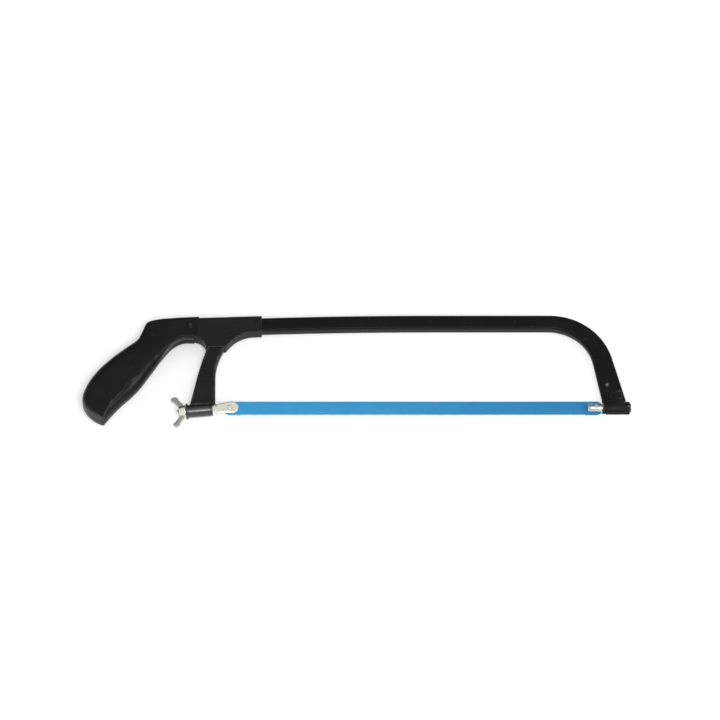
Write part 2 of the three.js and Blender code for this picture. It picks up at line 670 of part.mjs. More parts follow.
/** Loft of one side of the grip between two shares of its length, drawn in by a wall. */
function handleLoft(from, to, wall, side, bottom) {
  const stations = handleStations();
  const through = (pick) => new THREE.CatmullRomCurve3(stations.map(pick));
  const backs = through((station) => new THREE.Vector3(...station.back, station.half));
  const fingers = through((station) => new THREE.Vector3(...station.finger, station.half));
  const squareness = 2 / GRIP_EXPONENT;
  const steps = Math.round(GRIP_STEPS * (to - from));
  const rings = [];
  for (let step = 0; step <= steps; step += 1) {
    const share = lerp(from, to, step / steps);
    const back = backs.getPoint(share);
    const finger = fingers.getPoint(share);
    const middle = back.clone().lerp(finger, 0.5);
    const across = finger.clone().sub(back).setZ(0);
    const reach = across.length() / 2 - wall;
    across.normalize();
    const height = back.z - wall - bottom;
    const ring = [];
    for (let i = 0; i <= GRIP_SIDES; i += 1) {
      const turn = (Math.PI * i) / GRIP_SIDES;
      const along = reach * Math.sign(Math.cos(turn)) * Math.abs(Math.cos(turn)) ** squareness;
      const rise = bottom + height * Math.abs(Math.sin(turn)) ** squareness;
      ring.push(new THREE.Vector3(middle.x + along * across.x, middle.y + along * across.y, side * rise));
    }
    rings.push(ring);
  }
  return skin(rings);
}

const handleOrigin = [HANDLE_FRONT_X, rearAxisY(HANDLE_FRONT_X)];

const handleRivetLocal = handleRivetPlace.map((value, axis) => value - handleOrigin[axis]);

/** The two screws from the far side: their place on the grip and the height of the cheek there. */
const handleScrews = [
  { name: "handle_screw_mid", reach: 0.3674, drop: 0.1816, swell: 0.2 },
  { name: "handle_screw_butt", reach: 0.8087, drop: 0.6822, swell: 1 },
].map(({ name, reach, drop, swell }) => ({
  name,
  place: [-reach * GRIP_REACH, -drop * GRIP_DROP],
  seat: TUBE_WIDTH / 2 + HANDLE_CHEEK + swell * GRIP_SWELL - SCREW_SINK,
}));

/** Half of the grip, hollow, with a channel for the tube, screw bosses and the rivet's hole. */
function handleHalf(side) {
  const room = moved(tubeRearRoom(FIT), -handleOrigin[0], -handleOrigin[1]);
  const hollow = handleLoft(HOLLOW_START_SHARE, HOLLOW_END_SHARE, HANDLE_WALL, side, -OVERCUT);
  const bosses = handleScrews.map(({ place, seat }) => pinAlongZ(...place, SCREW_BOSS_DIAMETER, -seat, seat));
  const rivetHole = pinAlongZ(...handleRivetLocal, HANDLE_RIVET_DIAMETER + 2 * FIT, -TUBE_WIDTH, TUBE_WIDTH);
  const screwHoles = handleScrews.flatMap(({ place, seat }) => [
    pinAlongZ(...place, SCREW_DIAMETER + 2 * FIT, -2 * seat, seat),
    pinAlongZ(...place, SCREW_HEAD_DIAMETER + 2 * FIT, -2 * seat, -seat),
  ]);
  const body = handleLoft(0, 1, 0, side, PARTING_GAP / 2);
  return cut(body, cut(hollow, ...bosses), room, rivetHole, ...screwHoles);
}

/** Rivet through both handle halves and the tube. */
function handleRivet() {
  const reach = TUBE_WIDTH / 2 + HANDLE_CHEEK + FIT / 2;
  return rivet(...handleRivetLocal, HANDLE_RIVET_DIAMETER, -reach, reach, [1, -1]);
}

/** Screw sunk in the far half of the handle. */
function handleScrew({ place, seat }) {
  const head = pinAlongZ(...place, SCREW_HEAD_DIAMETER, -seat - SCREW_HEAD_HEIGHT - FIT, -seat - FIT);
  return join(head, pinAlongZ(...place, SCREW_DIAMETER, -seat - 2 * FIT, seat - FIT));
}

/** Pin through the bracket's mouth and the tube. */
function tubePin() {
  const reach = BRACKET_THICKNESS / 2;
  return pinAlongZ(...tubePinPlace, TUBE_PIN_DIAMETER, -reach, reach);
}

const frame = new THREE.Group();
frame.add(
  piece("frame_tube", frameTube(), BLACK_PAINT),
  piece("bracket", bracket(), BLACK_PAINT),
  piece("rear_leg", rearLeg(), BLACK_PAINT),
  piece("nose_block", noseBlock(), BLACK_PAINT),
  piece("nose_rivet", noseRivet(), BRIGHT_ZINC),
  piece("tube_pin", tubePin(), BLACK_PAINT),
);

const handle = new THREE.Group();
handle.position.set(...handleOrigin, 0);
handle.add(
  piece("handle_near", handleHalf(1), BLACK_PLASTIC),
  piece("handle_far", handleHalf(-1), BLACK_PLASTIC),
  piece("handle_rivet", handleRivet(), BLACK_PAINT),
  ...handleScrews.map((screw) => piece(screw.name, handleScrew(screw), BRIGHT_ZINC)),
);

const tensioner = new THREE.Group();
tensioner.rotation.z = TENSION_CANT;
tensioner.add(
  piece("guide_bush", guideBush(), BLACK_PAINT),
  piece("tension_bolt", tensionBolt(), BRIGHT_ZINC),
  piece("wing_nut", wingNut(), BRIGHT_ZINC),
  piece("rear_blade_pin", bladePin(0, PADDLE_THICKNESS), BRIGHT_ZINC),
);

const frontHold = new THREE.Group();
frontHold.add(
  piece("front_holder", frontHolder(), BRIGHT_ZINC),
  piece("front_blade_pin", bladePin(BLADE_PIN_SPACING, HALF_BAR_DIAMETER / 2), BRIGHT_ZINC),
  piece("front_retainer", frontRetainer(), BRIGHT_ZINC),
);

const saw = new THREE.Group();
saw.add(frame, handle, tensioner, frontHold, piece("blade", blade(), BLADE_PAINT));

const box = new THREE.Box3().setFromObject(saw);
const centre = box.getCenter(new THREE.Vector3());
saw.position.set(-centre.x, -centre.y, -box.min.z);

export default saw;
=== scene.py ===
"""Looks of a fixed-length hacksaw frame with its blade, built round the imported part.

Pieces are drawn in millimetres from the rear blade pin, as the solids are, and each is then
brought to metres in the part's own frame.
"""

import logging
import math
from collections.abc import Sequence
from dataclasses import dataclass, replace
from enum import Enum

import bmesh
import bpy
from mathutils import Matrix, Vector


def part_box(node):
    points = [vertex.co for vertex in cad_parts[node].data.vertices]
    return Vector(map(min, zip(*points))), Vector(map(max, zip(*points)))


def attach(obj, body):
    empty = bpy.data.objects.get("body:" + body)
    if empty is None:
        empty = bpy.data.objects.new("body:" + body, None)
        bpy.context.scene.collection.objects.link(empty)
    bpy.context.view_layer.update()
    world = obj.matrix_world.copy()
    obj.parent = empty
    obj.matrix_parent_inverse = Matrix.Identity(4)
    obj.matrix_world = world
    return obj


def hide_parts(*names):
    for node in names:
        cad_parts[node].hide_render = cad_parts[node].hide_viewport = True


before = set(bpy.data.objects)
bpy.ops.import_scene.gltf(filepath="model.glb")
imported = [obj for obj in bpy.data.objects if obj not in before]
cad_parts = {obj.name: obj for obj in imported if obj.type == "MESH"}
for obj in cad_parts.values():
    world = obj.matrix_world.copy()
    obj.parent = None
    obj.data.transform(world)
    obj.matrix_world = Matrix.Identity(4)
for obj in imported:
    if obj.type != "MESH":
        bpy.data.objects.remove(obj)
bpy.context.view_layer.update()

LOG = logging.getLogger("hacksaw")
MM = 0.001
RIM = "rim"
MITRE_FLOOR = 0.35
OVERCUT = 1.0
BEVEL_SHARE = 0.3
PIN_CORE = 0.3
RIVET_NECK = 0.2
PIN_TIP = ((0.0, 0.6), (0.15, 0.25), (0.5, 0.0))
PIN_PEEN = ((0.35, 0.0), (0.12, 0.05), (0.03, 0.15), (0.0, 0.35))

Point = tuple[float, float]
Triple = tuple[float, float, float]
Profile = tuple[Point, ...]
Ring = list[Vector]
Piece = bpy.types.Object
Socket = bpy.types.NodeSocket


@dataclass(frozen=True)
class Plan:
    """Main sizes of the saw in millimetres, the same as those of the solids."""

    pin_spacing: float = 300.0
    blade_height: float = 12.0
    blade_thickness: float = 0.65
    blade_margin: float = 5.0
    pin_diameter: float = 3.6
    pin_reach: float = 4.0
    fit: float = 0.3
    tube_height: float = 11.8
    tube_width: float = 10.0
    back_height: float = 75.9
    camber: float = math.radians(1.9)
    camber_run: float = 140.0
    mouth_x: float = 26.0
    lip_drop: float = 23.3
    lip_rear_x: float = -19.6
    lip_front_x: float = -3.4
    cant: float = math.radians(5.0)
    bush_diameter: float = 10.7
    bush_front_x: float = -14.0
    bush_length: float = 20.0
    collar_diameter: float = 13.0
    collar_length: float = 1.9
    shank: float = 6.0
    shank_edge: float = 0.35
    hole_fit: float = 0.05
    handle_front_x: float = -28.5
    travel_gap: float = 2.5
    nose_length: float = 19.5
    foot_setback: float = 8.2
    front_lean: float = math.radians(14.0)
    foot_clearance: float = 0.6

    @property
    def nose_rear_x(self) -> float:
        """Rear face of the nose."""
        return self.pin_spacing + self.blade_margin + self.travel_gap

    @property
    def nose_front_x(self) -> float:
        """Front face of the nose."""
        return self.nose_rear_x + self.nose_length

    @property
    def foot_x(self) -> float:
        """Where the axis of the tube's front leg meets the blade's line."""
        return self.nose_rear_x + self.foot_setback

    @property
    def foot_y(self) -> float:
        """Height at which the front leg is cut level."""
        return self.blade_height / 2 + self.foot_clearance

    @property
    def pin_hole(self) -> float:
        """Radius of the holes that hold the blade pins."""
        return self.pin_diameter / 2 + self.hole_fit

    @property
    def lip_y(self) -> float:
        """Height of the bracket's lower lip."""
        return self.back_height - self.lip_drop

    @property
    def bush_rear_x(self) -> float:
        """Rear face of the guide bush's collar."""
        return self.bush_front_x - self.bush_length - self.collar_length

    def axis_y(self, x: float) -> float:
        """Height of the tube's axis at its straight rear end."""
        mouth_y = self.back_height - self.camber_run * math.tan(self.camber / 2)
        return mouth_y - (self.mouth_x - x) * math.tan(self.camber)


PLAN = Plan()


def pin_origin() -> Vector:
    """Middle of the rear blade pin in the part's frame, where the drawing starts."""
    low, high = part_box("rear_blade_pin")
    return Vector(((low.x + high.x) / 2, (low.y + high.y) / 2, low.z + PLAN.pin_reach * MM))


ORIGIN = pin_origin()
SAW_PLACE = Matrix.Translation(ORIGIN) @ Matrix.Scale(MM, 4)
CANTED_PLACE = SAW_PLACE @ Matrix.Rotation(PLAN.cant, 4, "Z")


def mix(low: float, high: float, share: float) -> float:
    """Value at a share of the way from low to high."""
    return low + (high - low) * share


def ease(low: float, high: float, value: float) -> float:
    """Smooth step of value from 0 at low to 1 at high."""
    share = min(1.0, max(0.0, (value - low) / (high - low)))
    return share * share * (3 - 2 * share)


def quadratic(start: Point, control: Point, end: Point, steps: int) -> list[Point]:
    """Points of a quadratic curve after its start.

    Args:
        start: First point, which is left out.
        control: Control point.
        end: Last point.
        steps: Number of points.

    Returns:
        The points, ending with end.
    """
    points = []
    for step in range(1, steps + 1):
        t = step / steps
        weights = ((1 - t) ** 2, 2 * t * (1 - t), t * t)
        pairs = list(zip(weights, (start, control, end)))
        points.append(tuple(sum(weight * point[i] for weight, point in pairs) for i in (0, 1)))
    return points


def arc(centre: Point, radius: float, start: float, end: float, steps: int) -> list[Point]:
    """Points of an arc, both ends included, with its angles in degrees."""
    turns = [math.radians(mix(start, end, step / steps)) for step in range(steps + 1)]
    return [(centre[0] + radius * math.cos(t), centre[1] + radius * math.sin(t)) for t in turns]


def through(points: Sequence[Vector], share: float) -> Vector:
    """Point of a centripetal curve through all the points, at a share of their count."""
    place = share * (len(points) - 1)
    index = min(int(place), len(points) - 2)
    t = place - index
    before = points[index - 1] if index > 0 else 2 * points[0] - points[1]
    after = points[index + 2] if index + 2 < len(points) else 2 * points[-1] - points[-2]
    four = (before, points[index], points[index + 1], after)
    gaps = [math.sqrt((b - a).length) for a, b in zip(four, four[1:])]
    p0, p1, p2, p3 = four
    d0, d1, d2 = gaps
    leave = ((p1 - p0) / d0 - (p2 - p0) / (d0 + d1) + (p2 - p1) / d1) * d1
    arrive = ((p2 - p1) / d1 - (p3 - p1) / (d1 + d2) + (p3 - p2) / d2) * d1
    curve = p1 + leave * t
    curve = curve + (3 * (p2 - p1) - 2 * leave - arrive) * t * t
    return curve + (2 * (p1 - p2) + leave + arrive) * t**3


def drawn_in(outline: Sequence[Point], inset: float) -> list[Point]:
    """The outline with each corner moved inwards along its mitre.

    Args:
        outline: Closed outline, in counter-clockwise order.
        inset: Distance inwards.

    Returns:
        The smaller outline.
    """
    count = len(outline)
    moved = []
    for i, here in enumerate(outline):
        before = Vector(here) - Vector(outline[i - 1])
        after = Vector(outline[(i + 1) % count]) - Vector(here)
        before.normalize()
        after.normalize()
        normal = Vector((-before.y - after.y, before.x + after.x))
        normal.normalize()
        reach = max(MITRE_FLOOR, normal.dot(Vector((-before.y, before.x))))
        moved.append((here[0] + normal.x * inset / reach, here[1] + normal.y * inset / reach))
    return moved


def bevelled(face: float, radius: float, edge: float, side: int) -> list[Point]:
    """Corners of a turned end's bevel, from its face to its full radius.

    Args:
        face: Place of the end face.
        radius: Full radius.
        edge: Size of the bevel.
        side: 1 if the body lies beyond the face, -1 if it lies before it.

    Returns:
        Three corners as place along the axis and radius.
    """
    inner = edge * BEVEL_SHARE
    corners = ((0.0, edge), (inner, inner), (edge, 0.0))
    return [(face + side * along, radius - inset) for along, inset in corners]


def area_of(outline: Sequence[Point]) -> float:
    """Signed area of an outline."""
    pairs = zip(outline, [*outline[1:], outline[0]])
    return sum(a[0] * b[1] - b[0] * a[1] for a, b in pairs) / 2


class Bench:
    """Hand work with Blender's own operators, one piece at a time."""

    @staticmethod
    def clear() -> None:
        """Leaves edit mode and deselects everything."""
        if bpy.context.object and bpy.context.object.mode != "OBJECT":
            bpy.ops.object.mode_set(mode="OBJECT")
        bpy.ops.object.select_all(action="DESELECT")

    @staticmethod
    def pick(piece: Piece) -> None:
        """Makes a piece the active one and the only one selected."""
        Bench.clear()
        bpy.context.view_layer.objects.active = piece
        piece.select_set(True)

    @staticmethod
    def start_ring(name: str, ring: Sequence[Vector]) -> Piece:
        """Adds a circle, leaves it in edit mode and gives it the ring's shape.

        Args:
            name: Name of the piece.
            ring: Its first ring of points.

        Returns:
            The new object, in edit mode with the ring selected.
        """
        Bench.clear()
        bpy.ops.mesh.primitive_circle_add(vertices=len(ring), radius=1.0)
        piece = bpy.context.active_object
        piece.name = name
        piece.data.name = name
        bpy.ops.object.mode_set(mode="EDIT")
        bpy.ops.mesh.select_mode(type="EDGE")
        bpy.ops.mesh.select_all(action="SELECT")
        mesh = bmesh.from_edit_mesh(piece.data)
        mesh.verts.ensure_lookup_table()
        for vert, place in zip(mesh.verts, ring):
            vert.co = place
        bmesh.update_edit_mesh(piece.data)
        return piece

    @staticmethod
    def loft(
        name: str, rings: Sequence[Sequence[Vector]], rims: Sequence[float] | None = None
    ) -> Piece:
        """Extrudes a circle ring by ring and closes its ends.

        Args:
            name: Name of the piece.
            rings: Rings of points, all of one count.
            rims: How far each ring is drawn lighter, as a worn rim with a painted highlight, from 0
                to 1.

        Returns:
            The object, back in object mode.
        """
        piece = Bench.start_ring(name, rings[0])
        mesh = bmesh.from_edit_mesh(piece.data)
        order = {vert.index: i for i, vert in enumerate(mesh.verts)}
        for ring in rings[1:]:
            bpy.ops.mesh.extrude_region()
            mesh = bmesh.from_edit_mesh(piece.data)
            mesh.verts.index_update()
            fresh = {}
            for vert in (v for v in mesh.verts if v.select):
                linked = [edge.other_vert(vert) for edge in vert.link_edges]
                old = next(other for other in linked if not other.select)
                fresh[vert.index] = order[old.index]
                vert.co = ring[order[old.index]]
            order = fresh
            bmesh.update_edit_mesh(piece.data)
        bpy.ops.mesh.edge_face_add()
        bpy.ops.mesh.select_all(action="DESELECT")
        mesh = bmesh.from_edit_mesh(piece.data)
        for edge in mesh.edges:
            edge.select_set(edge.is_boundary)
        bmesh.update_edit_mesh(piece.data)
        bpy.ops.mesh.edge_face_add()
        bpy.ops.mesh.select_all(action="SELECT")
        bpy.ops.mesh.normals_make_consistent(inside=False)
        bpy.ops.object.mode_set(mode="OBJECT")
        if rims is not None:
            size, count = len(rings[0]), len(piece.data.vertices)
            Bench.mark_wear_and_highlight(piece, [rims[min(i // size, len(rims) - 1)] for i in range(count)])
        return piece

    @staticmethod
    def mark_wear_and_highlight(piece: Piece, values: Sequence[float]) -> None:
        """Writes how much lighter each point is drawn, for wear and painted highlight, from 0 to 1,
        into a piece's mesh.
        """
        piece.data.attributes.new(RIM, "FLOAT", "POINT").data.foreach_set("value", values)

    @staticmethod
    def pillow(
        name: str,
        outline: Sequence[Point],
        bottom: float,
        top: float,
        edge: float,
        steps: int = 4,
        support: float = 0.12,
    ) -> Piece:
        """Slab of an outline with rounded rims.

        Args:
            name: Name of the piece.
            outline: Closed outline in the saw's plane.
            bottom: Lower face.
            top: Upper face.
            edge: Radius of the rims.
            steps: Facets in each rim.
            support: Inset of the ring that keeps the flat faces flat.

        Returns:
            The object.
        """
        path = list(outline) if area_of(outline) > 0 else list(reversed(outline))
        levels = [(edge + support, bottom, 0.0)]
        for step in range(steps + 1):
            turn = math.pi / 2 * step / steps
            # Rims lighten most halfway round their rounding: part wear, part painted highlight of
            # lit edges.
            wear_and_highlight = math.sin(2 * turn)
            levels.append((edge * (1 - math.sin(turn)), bottom + edge * (1 - math.cos(turn)), wear_and_highlight))
        for inset, height, wear_and_highlight in reversed(levels[:]):
            levels.append((inset, bottom + top - height, wear_and_highlight))
        rings = []
        for inset, height, _ in levels:
            ring = drawn_in(path, inset) if inset > 0 else path
            rings.append([Vector((x, y, height)) for x, y in ring])
        return Bench.loft(name, rings, rims=[wear_and_highlight for _, _, wear_and_highlight in levels])

    @staticmethod
    def turned(
        name: str,
        profile: Sequence[Point],
        segments: int,
        axis: str = "X",
        rims: Sequence[float] | None = None,
    ) -> Piece:
        """Body spun about an axis through the origin.

        Args:
            name: Name of the piece.
            profile: Corners as place along the axis and radius, from end to end.
            segments: Facets round the axis.
            axis: X or Z.
            rims: How far each corner's ring is drawn lighter, from 0 to 1.

        Returns:
            The object.
        """
        turns = [2 * math.pi * i / segments for i in range(segments)]
        circle = [(math.cos(turn), math.sin(turn)) for turn in turns]
        rings = []
        for along, radius in profile:
            if axis == "X":
                rings.append([Vector((along, radius * c, radius * s)) for c, s in circle])
            else:
                rings.append([Vector((radius * c, radius * s, along)) for c, s in circle])
        return Bench.loft(name, rings, rims=rims)

    @staticmethod
    def bar(name: str, low: Triple, high: Triple, edge: float = 0.0) -> Piece:
        """Rectangular bar with bevelled edges between two corners.

        Args:
            name: Name of the piece.
            low: Lowest corner.
            high: Highest corner.
            edge: Width of the bevel, or 0 for sharp edges.

        Returns:
            The object.
        """
        Bench.clear()
        bpy.ops.mesh.primitive_cube_add(size=1.0)
        piece = bpy.context.active_object
        piece.name = name
        piece.data.name = name
        piece.location = [(a + b) / 2 for a, b in zip(low, high)]
        piece.scale = [b - a for a, b in zip(low, high)]
        bpy.ops.object.transform_apply(location=True, rotation=True, scale=True)
        if edge > 0:
            bpy.ops.object.mode_set(mode="EDIT")
            bpy.ops.mesh.select_all(action="SELECT")
            bpy.ops.mesh.bevel(offset=edge, segments=2, affect="EDGES")
            bpy.ops.object.mode_set(mode="OBJECT")
        return piece

    @staticmethod
    def shift(piece: Piece, place: Matrix) -> Piece:
        """Moves a piece by a matrix and takes its place into its mesh."""
        piece.matrix_world = place @ piece.matrix_world
        Bench.pick(piece)
        bpy.ops.object.transform_apply(location=True, rotation=True, scale=True)
        return piece

    @staticmethod
    def modify(piece: Piece, kind: str, **values: object) -> None:
        """Gives a piece a modifier with the values and applies it."""
        Bench.pick(piece)
        step = piece.modifiers.new("step", kind)
        for key, value in values.items():
            setattr(step, key, value)
        bpy.ops.object.modifier_apply(modifier=step.name)

    @staticmethod
    def combine(piece: Piece, tool: Piece, operation: str = "DIFFERENCE") -> Piece:
        """Applies a boolean of two pieces and removes the tool."""
        values = {"operation": operation, "object": tool, "solver": "EXACT"}
        mode = "TRANSFER" if any(tool.data.materials) else "INDEX"
        Bench.modify(piece, "BOOLEAN", **values, material_mode=mode)
        bpy.data.objects.remove(tool)
        return piece

    @staticmethod
    def drill(piece: Piece, spot: Point, radius: float, ends: Point, segments: int = 40) -> None:
        """Drills a round hole along Z.

        Args:
            piece: The piece.
            spot: Place of the hole in the saw's plane.
            radius: Its radius.
            ends: Heights that it is cut between.
            segments: Facets round it.
        """
        tool = Bench.turned("hole", [(end, radius) for end in ends], segments, axis="Z")
        Bench.combine(piece, Bench.shift(tool, Matrix.Translation((*spot, 0))))

    @staticmethod
    def join(piece: Piece, *others: Piece) -> None:
        """Joins other meshes into the first one."""
        Bench.clear()
        for other in (piece, *others):
            other.select_set(True)
        bpy.context.view_layer.objects.active = piece
        bpy.ops.object.join()

    @staticmethod
    def slice(piece: Piece, point: Triple, normal: Triple, keep_below: bool) -> None:
        """Bisects a piece with a plane, keeps one side and closes the cut.

        Args:
            piece: The piece.
            point: Point on the plane.
            normal: Normal of the plane.
            keep_below: Whether the side away from the normal is kept.
        """
        Bench.pick(piece)
        bpy.ops.object.mode_set(mode="EDIT")
        bpy.ops.mesh.select_all(action="SELECT")
        bpy.ops.mesh.bisect(
            plane_co=point,
            plane_no=normal,
            use_fill=True,
            clear_outer=keep_below,
            clear_inner=not keep_below,
        )
        bpy.ops.object.mode_set(mode="OBJECT")

    @staticmethod
    def ease_edges(piece: Piece, width: float, angle: float) -> None:
        """Rounds the edges of a piece that are sharper than an angle."""
        limit = {"limit_method": "ANGLE", "angle_limit": math.radians(angle)}
        Bench.modify(piece, "BEVEL", width=width, segments=2, use_clamp_overlap=True, **limit)

    @staticmethod
    def polish(piece: Piece, angle: float) -> None:
        """Shades a piece smooth up to an angle between its faces."""
        Bench.pick(piece)
        bpy.ops.object.shade_smooth_by_angle(angle=math.radians(angle))


class Nodes:
    """Short hand for a node tree."""

    def __init__(self, tree: bpy.types.NodeTree) -> None:
        """Takes the tree that it adds to."""
        self.tree = tree

    def add(self, kind: str, **values: object) -> bpy.types.Node:
        """Adds a node, with its properties by name and its inputs by name or number.

        Args:
            kind: Blender's type name of the node.
            values: Properties, and inputs as a dict under "inputs".

        Returns:
            The node.
        """
        inputs = values.pop("inputs", {})
        node = self.tree.nodes.new(kind)
        for key, value in values.items():
            setattr(node, key, value)
        for key, value in inputs.items():
            if isinstance(value, Socket):
                self.link(value, node.inputs[key])
            else:
                node.inputs[key].default_value = value
        return node

    def link(self, source: Socket, target: Socket) -> None:
        """Joins two sockets."""
        self.tree.links.new(source, target)

    def noise(self, vector: Socket, scale: float | Socket, detail: float) -> Socket:
        """Noise value at a scale."""
        inputs = {"Vector": vector, "Scale": scale, "Detail": detail}
        return self.add("ShaderNodeTexNoise", inputs=inputs).outputs["Fac"]

    def stretched(self, vector: Socket, scale: Triple) -> Socket:
        """Vector scaled along each axis."""
        return self.add("ShaderNodeMapping", inputs={"Vector": vector, "Scale": scale}).outputs[0]

    def ranged(
        self,
        value: Socket,
        low: float,
        high: float,
        out_low: float = 0.0,
        out_high: float = 1.0,
    ) -> Socket:
        """Value carried from one range to another, held at its ends."""
        inputs = {"Value": value, "From Min": low, "From Max": high}
        inputs |= {"To Min": out_low, "To Max": out_high}
        return self.add("ShaderNodeMapRange", clamp=True, inputs=inputs).outputs["Result"]

    def sum(self, operation: str, a: object, b: object) -> Socket:
        """Result of a math node on two values or sockets."""
        return self.add("ShaderNodeMath", operation=operation, inputs={0: a, 1: b}).outputs[0]

    def blend(self, share: object, a: object, b: object) -> Socket:
        """Colour between two colours."""
        inputs = {0: share, 6: a, 7: b}
        return self.add("ShaderNodeMix", data_type="RGBA", inputs=inputs).outputs[2]


class Effect(Enum):
    """Surface effects that several finishes share."""

    GRAIN = "surface_grain"
    SCUFFS = "handling_scuffs"
    DUST = "settled_dust"


def effect_group(effect: Effect) -> bpy.types.NodeTree:
    """Node group of an effect, built once.

    Args:
        effect: Which effect.

    Returns:
        The group, with a Vector and a Scale going in and a Mask coming out.
    """
    found = bpy.data.node_groups.get(effect.value)
    if found:
        return found
    group = bpy.data.node_groups.new(effect.value, "ShaderNodeTree")
    group.interface.new_socket("Vector", in_out="INPUT", socket_type="NodeSocketVector")
    group.interface.new_socket("Scale", in_out="INPUT", socket_type="NodeSocketFloat")
    group.interface.new_socket("Mask", in_out="OUTPUT", socket_type="NodeSocketFloat")
    nodes = Nodes(group)
    source = nodes.add("NodeGroupInput")
    result = nodes.add("NodeGroupOutput")
    vector, scale = source.outputs["Vector"], source.outputs["Scale"]
    if effect is Effect.GRAIN:
        fine = nodes.noise(vector, scale, 4.0)
        cells = nodes.add("ShaderNodeTexVoronoi", inputs={"Vector": vector, "Scale": scale})
        pits = nodes.ranged(cells.outputs["Distance"], *PATINA.pit_band, *PATINA.pit_depth)
        mask = nodes.sum("MULTIPLY", fine, pits)
    elif effect is Effect.SCUFFS:
        stretch = nodes.add(
            "ShaderNodeMapping",
            inputs={"Vector": vector, "Rotation": PATINA.scuff_turn, "Scale": PATINA.scuff_stretch},
        )
        thin = nodes.ranged(nodes.noise(stretch.outputs[0], scale, 5.0), *PATINA.scuff_band)
        patches = nodes.noise(vector, PATINA.patch_scale, 2.0)
        mask = nodes.sum("MULTIPLY", thin, nodes.ranged(patches, *PATINA.patch_band))
    else:
        mask = nodes.ranged(nodes.noise(vector, scale, 6.0), *PATINA.dust_band)
    nodes.link(mask, result.inputs["Mask"])
    return group


@dataclass(frozen=True)
class Patina:
    """Scales and strengths that all finishes share; scales are per metre."""

    mottle_scale: float = 38.0
    mottle_band: Point = (0.35, 0.65)
    pit_band: Point = (0.0, 0.8)
    pit_depth: Point = (0.6, 1.0)
    scuff_scale: float = 60.0
    scuff_band: Point = (0.62, 0.74)
    scuff_turn: Triple = (0.2, 0.1, 0.9)
    scuff_stretch: Triple = (1.0, 14.0, 14.0)
    patch_scale: float = 45.0
    patch_band: Point = (0.45, 0.65)
    dust_scale: float = 420.0
    dust_band: Point = (0.66, 0.8)
    break_scale: float = 260.0
    break_band: Point = (0.42, 0.62)
    gloss_scale: float = 75.0
    gloss_band: Point = (0.3, 0.7)
    peel_scale: float = 900.0
    mould_scale: float = 2600.0
    plating_scale: float = 700.0
    drawn_scale: Triple = (60.0, 1400.0, 1400.0)
    rolled_scale: Triple = (40.0, 700.0, 700.0)
    # Strength of the rims' lightening: part wear, part painted highlight.
    rim_wear_and_highlight: float = 0.8
    scuff_wear: float = 0.3
    scuff_depth: float = 0.5
    dust_tint: float = 0.08
    dust_gloss: float = 0.15
    dust_colour: tuple[float, float, float, float] = (0.35, 0.34, 0.32, 1.0)
    bump_height: float = 0.0002
    # Painted shade: band along X over which a finish darkens towards the saw's front.
    painted_shade_band: Point = (-0.06, 0.2)


PATINA = Patina()


class Texture(Enum):
    """How a finish's height map is made."""

    ORANGE_PEEL = "orange peel"
    MOULDED = "moulded grain"
    PLATED = "drawn and plated"
    LACQUER = "lacquer"


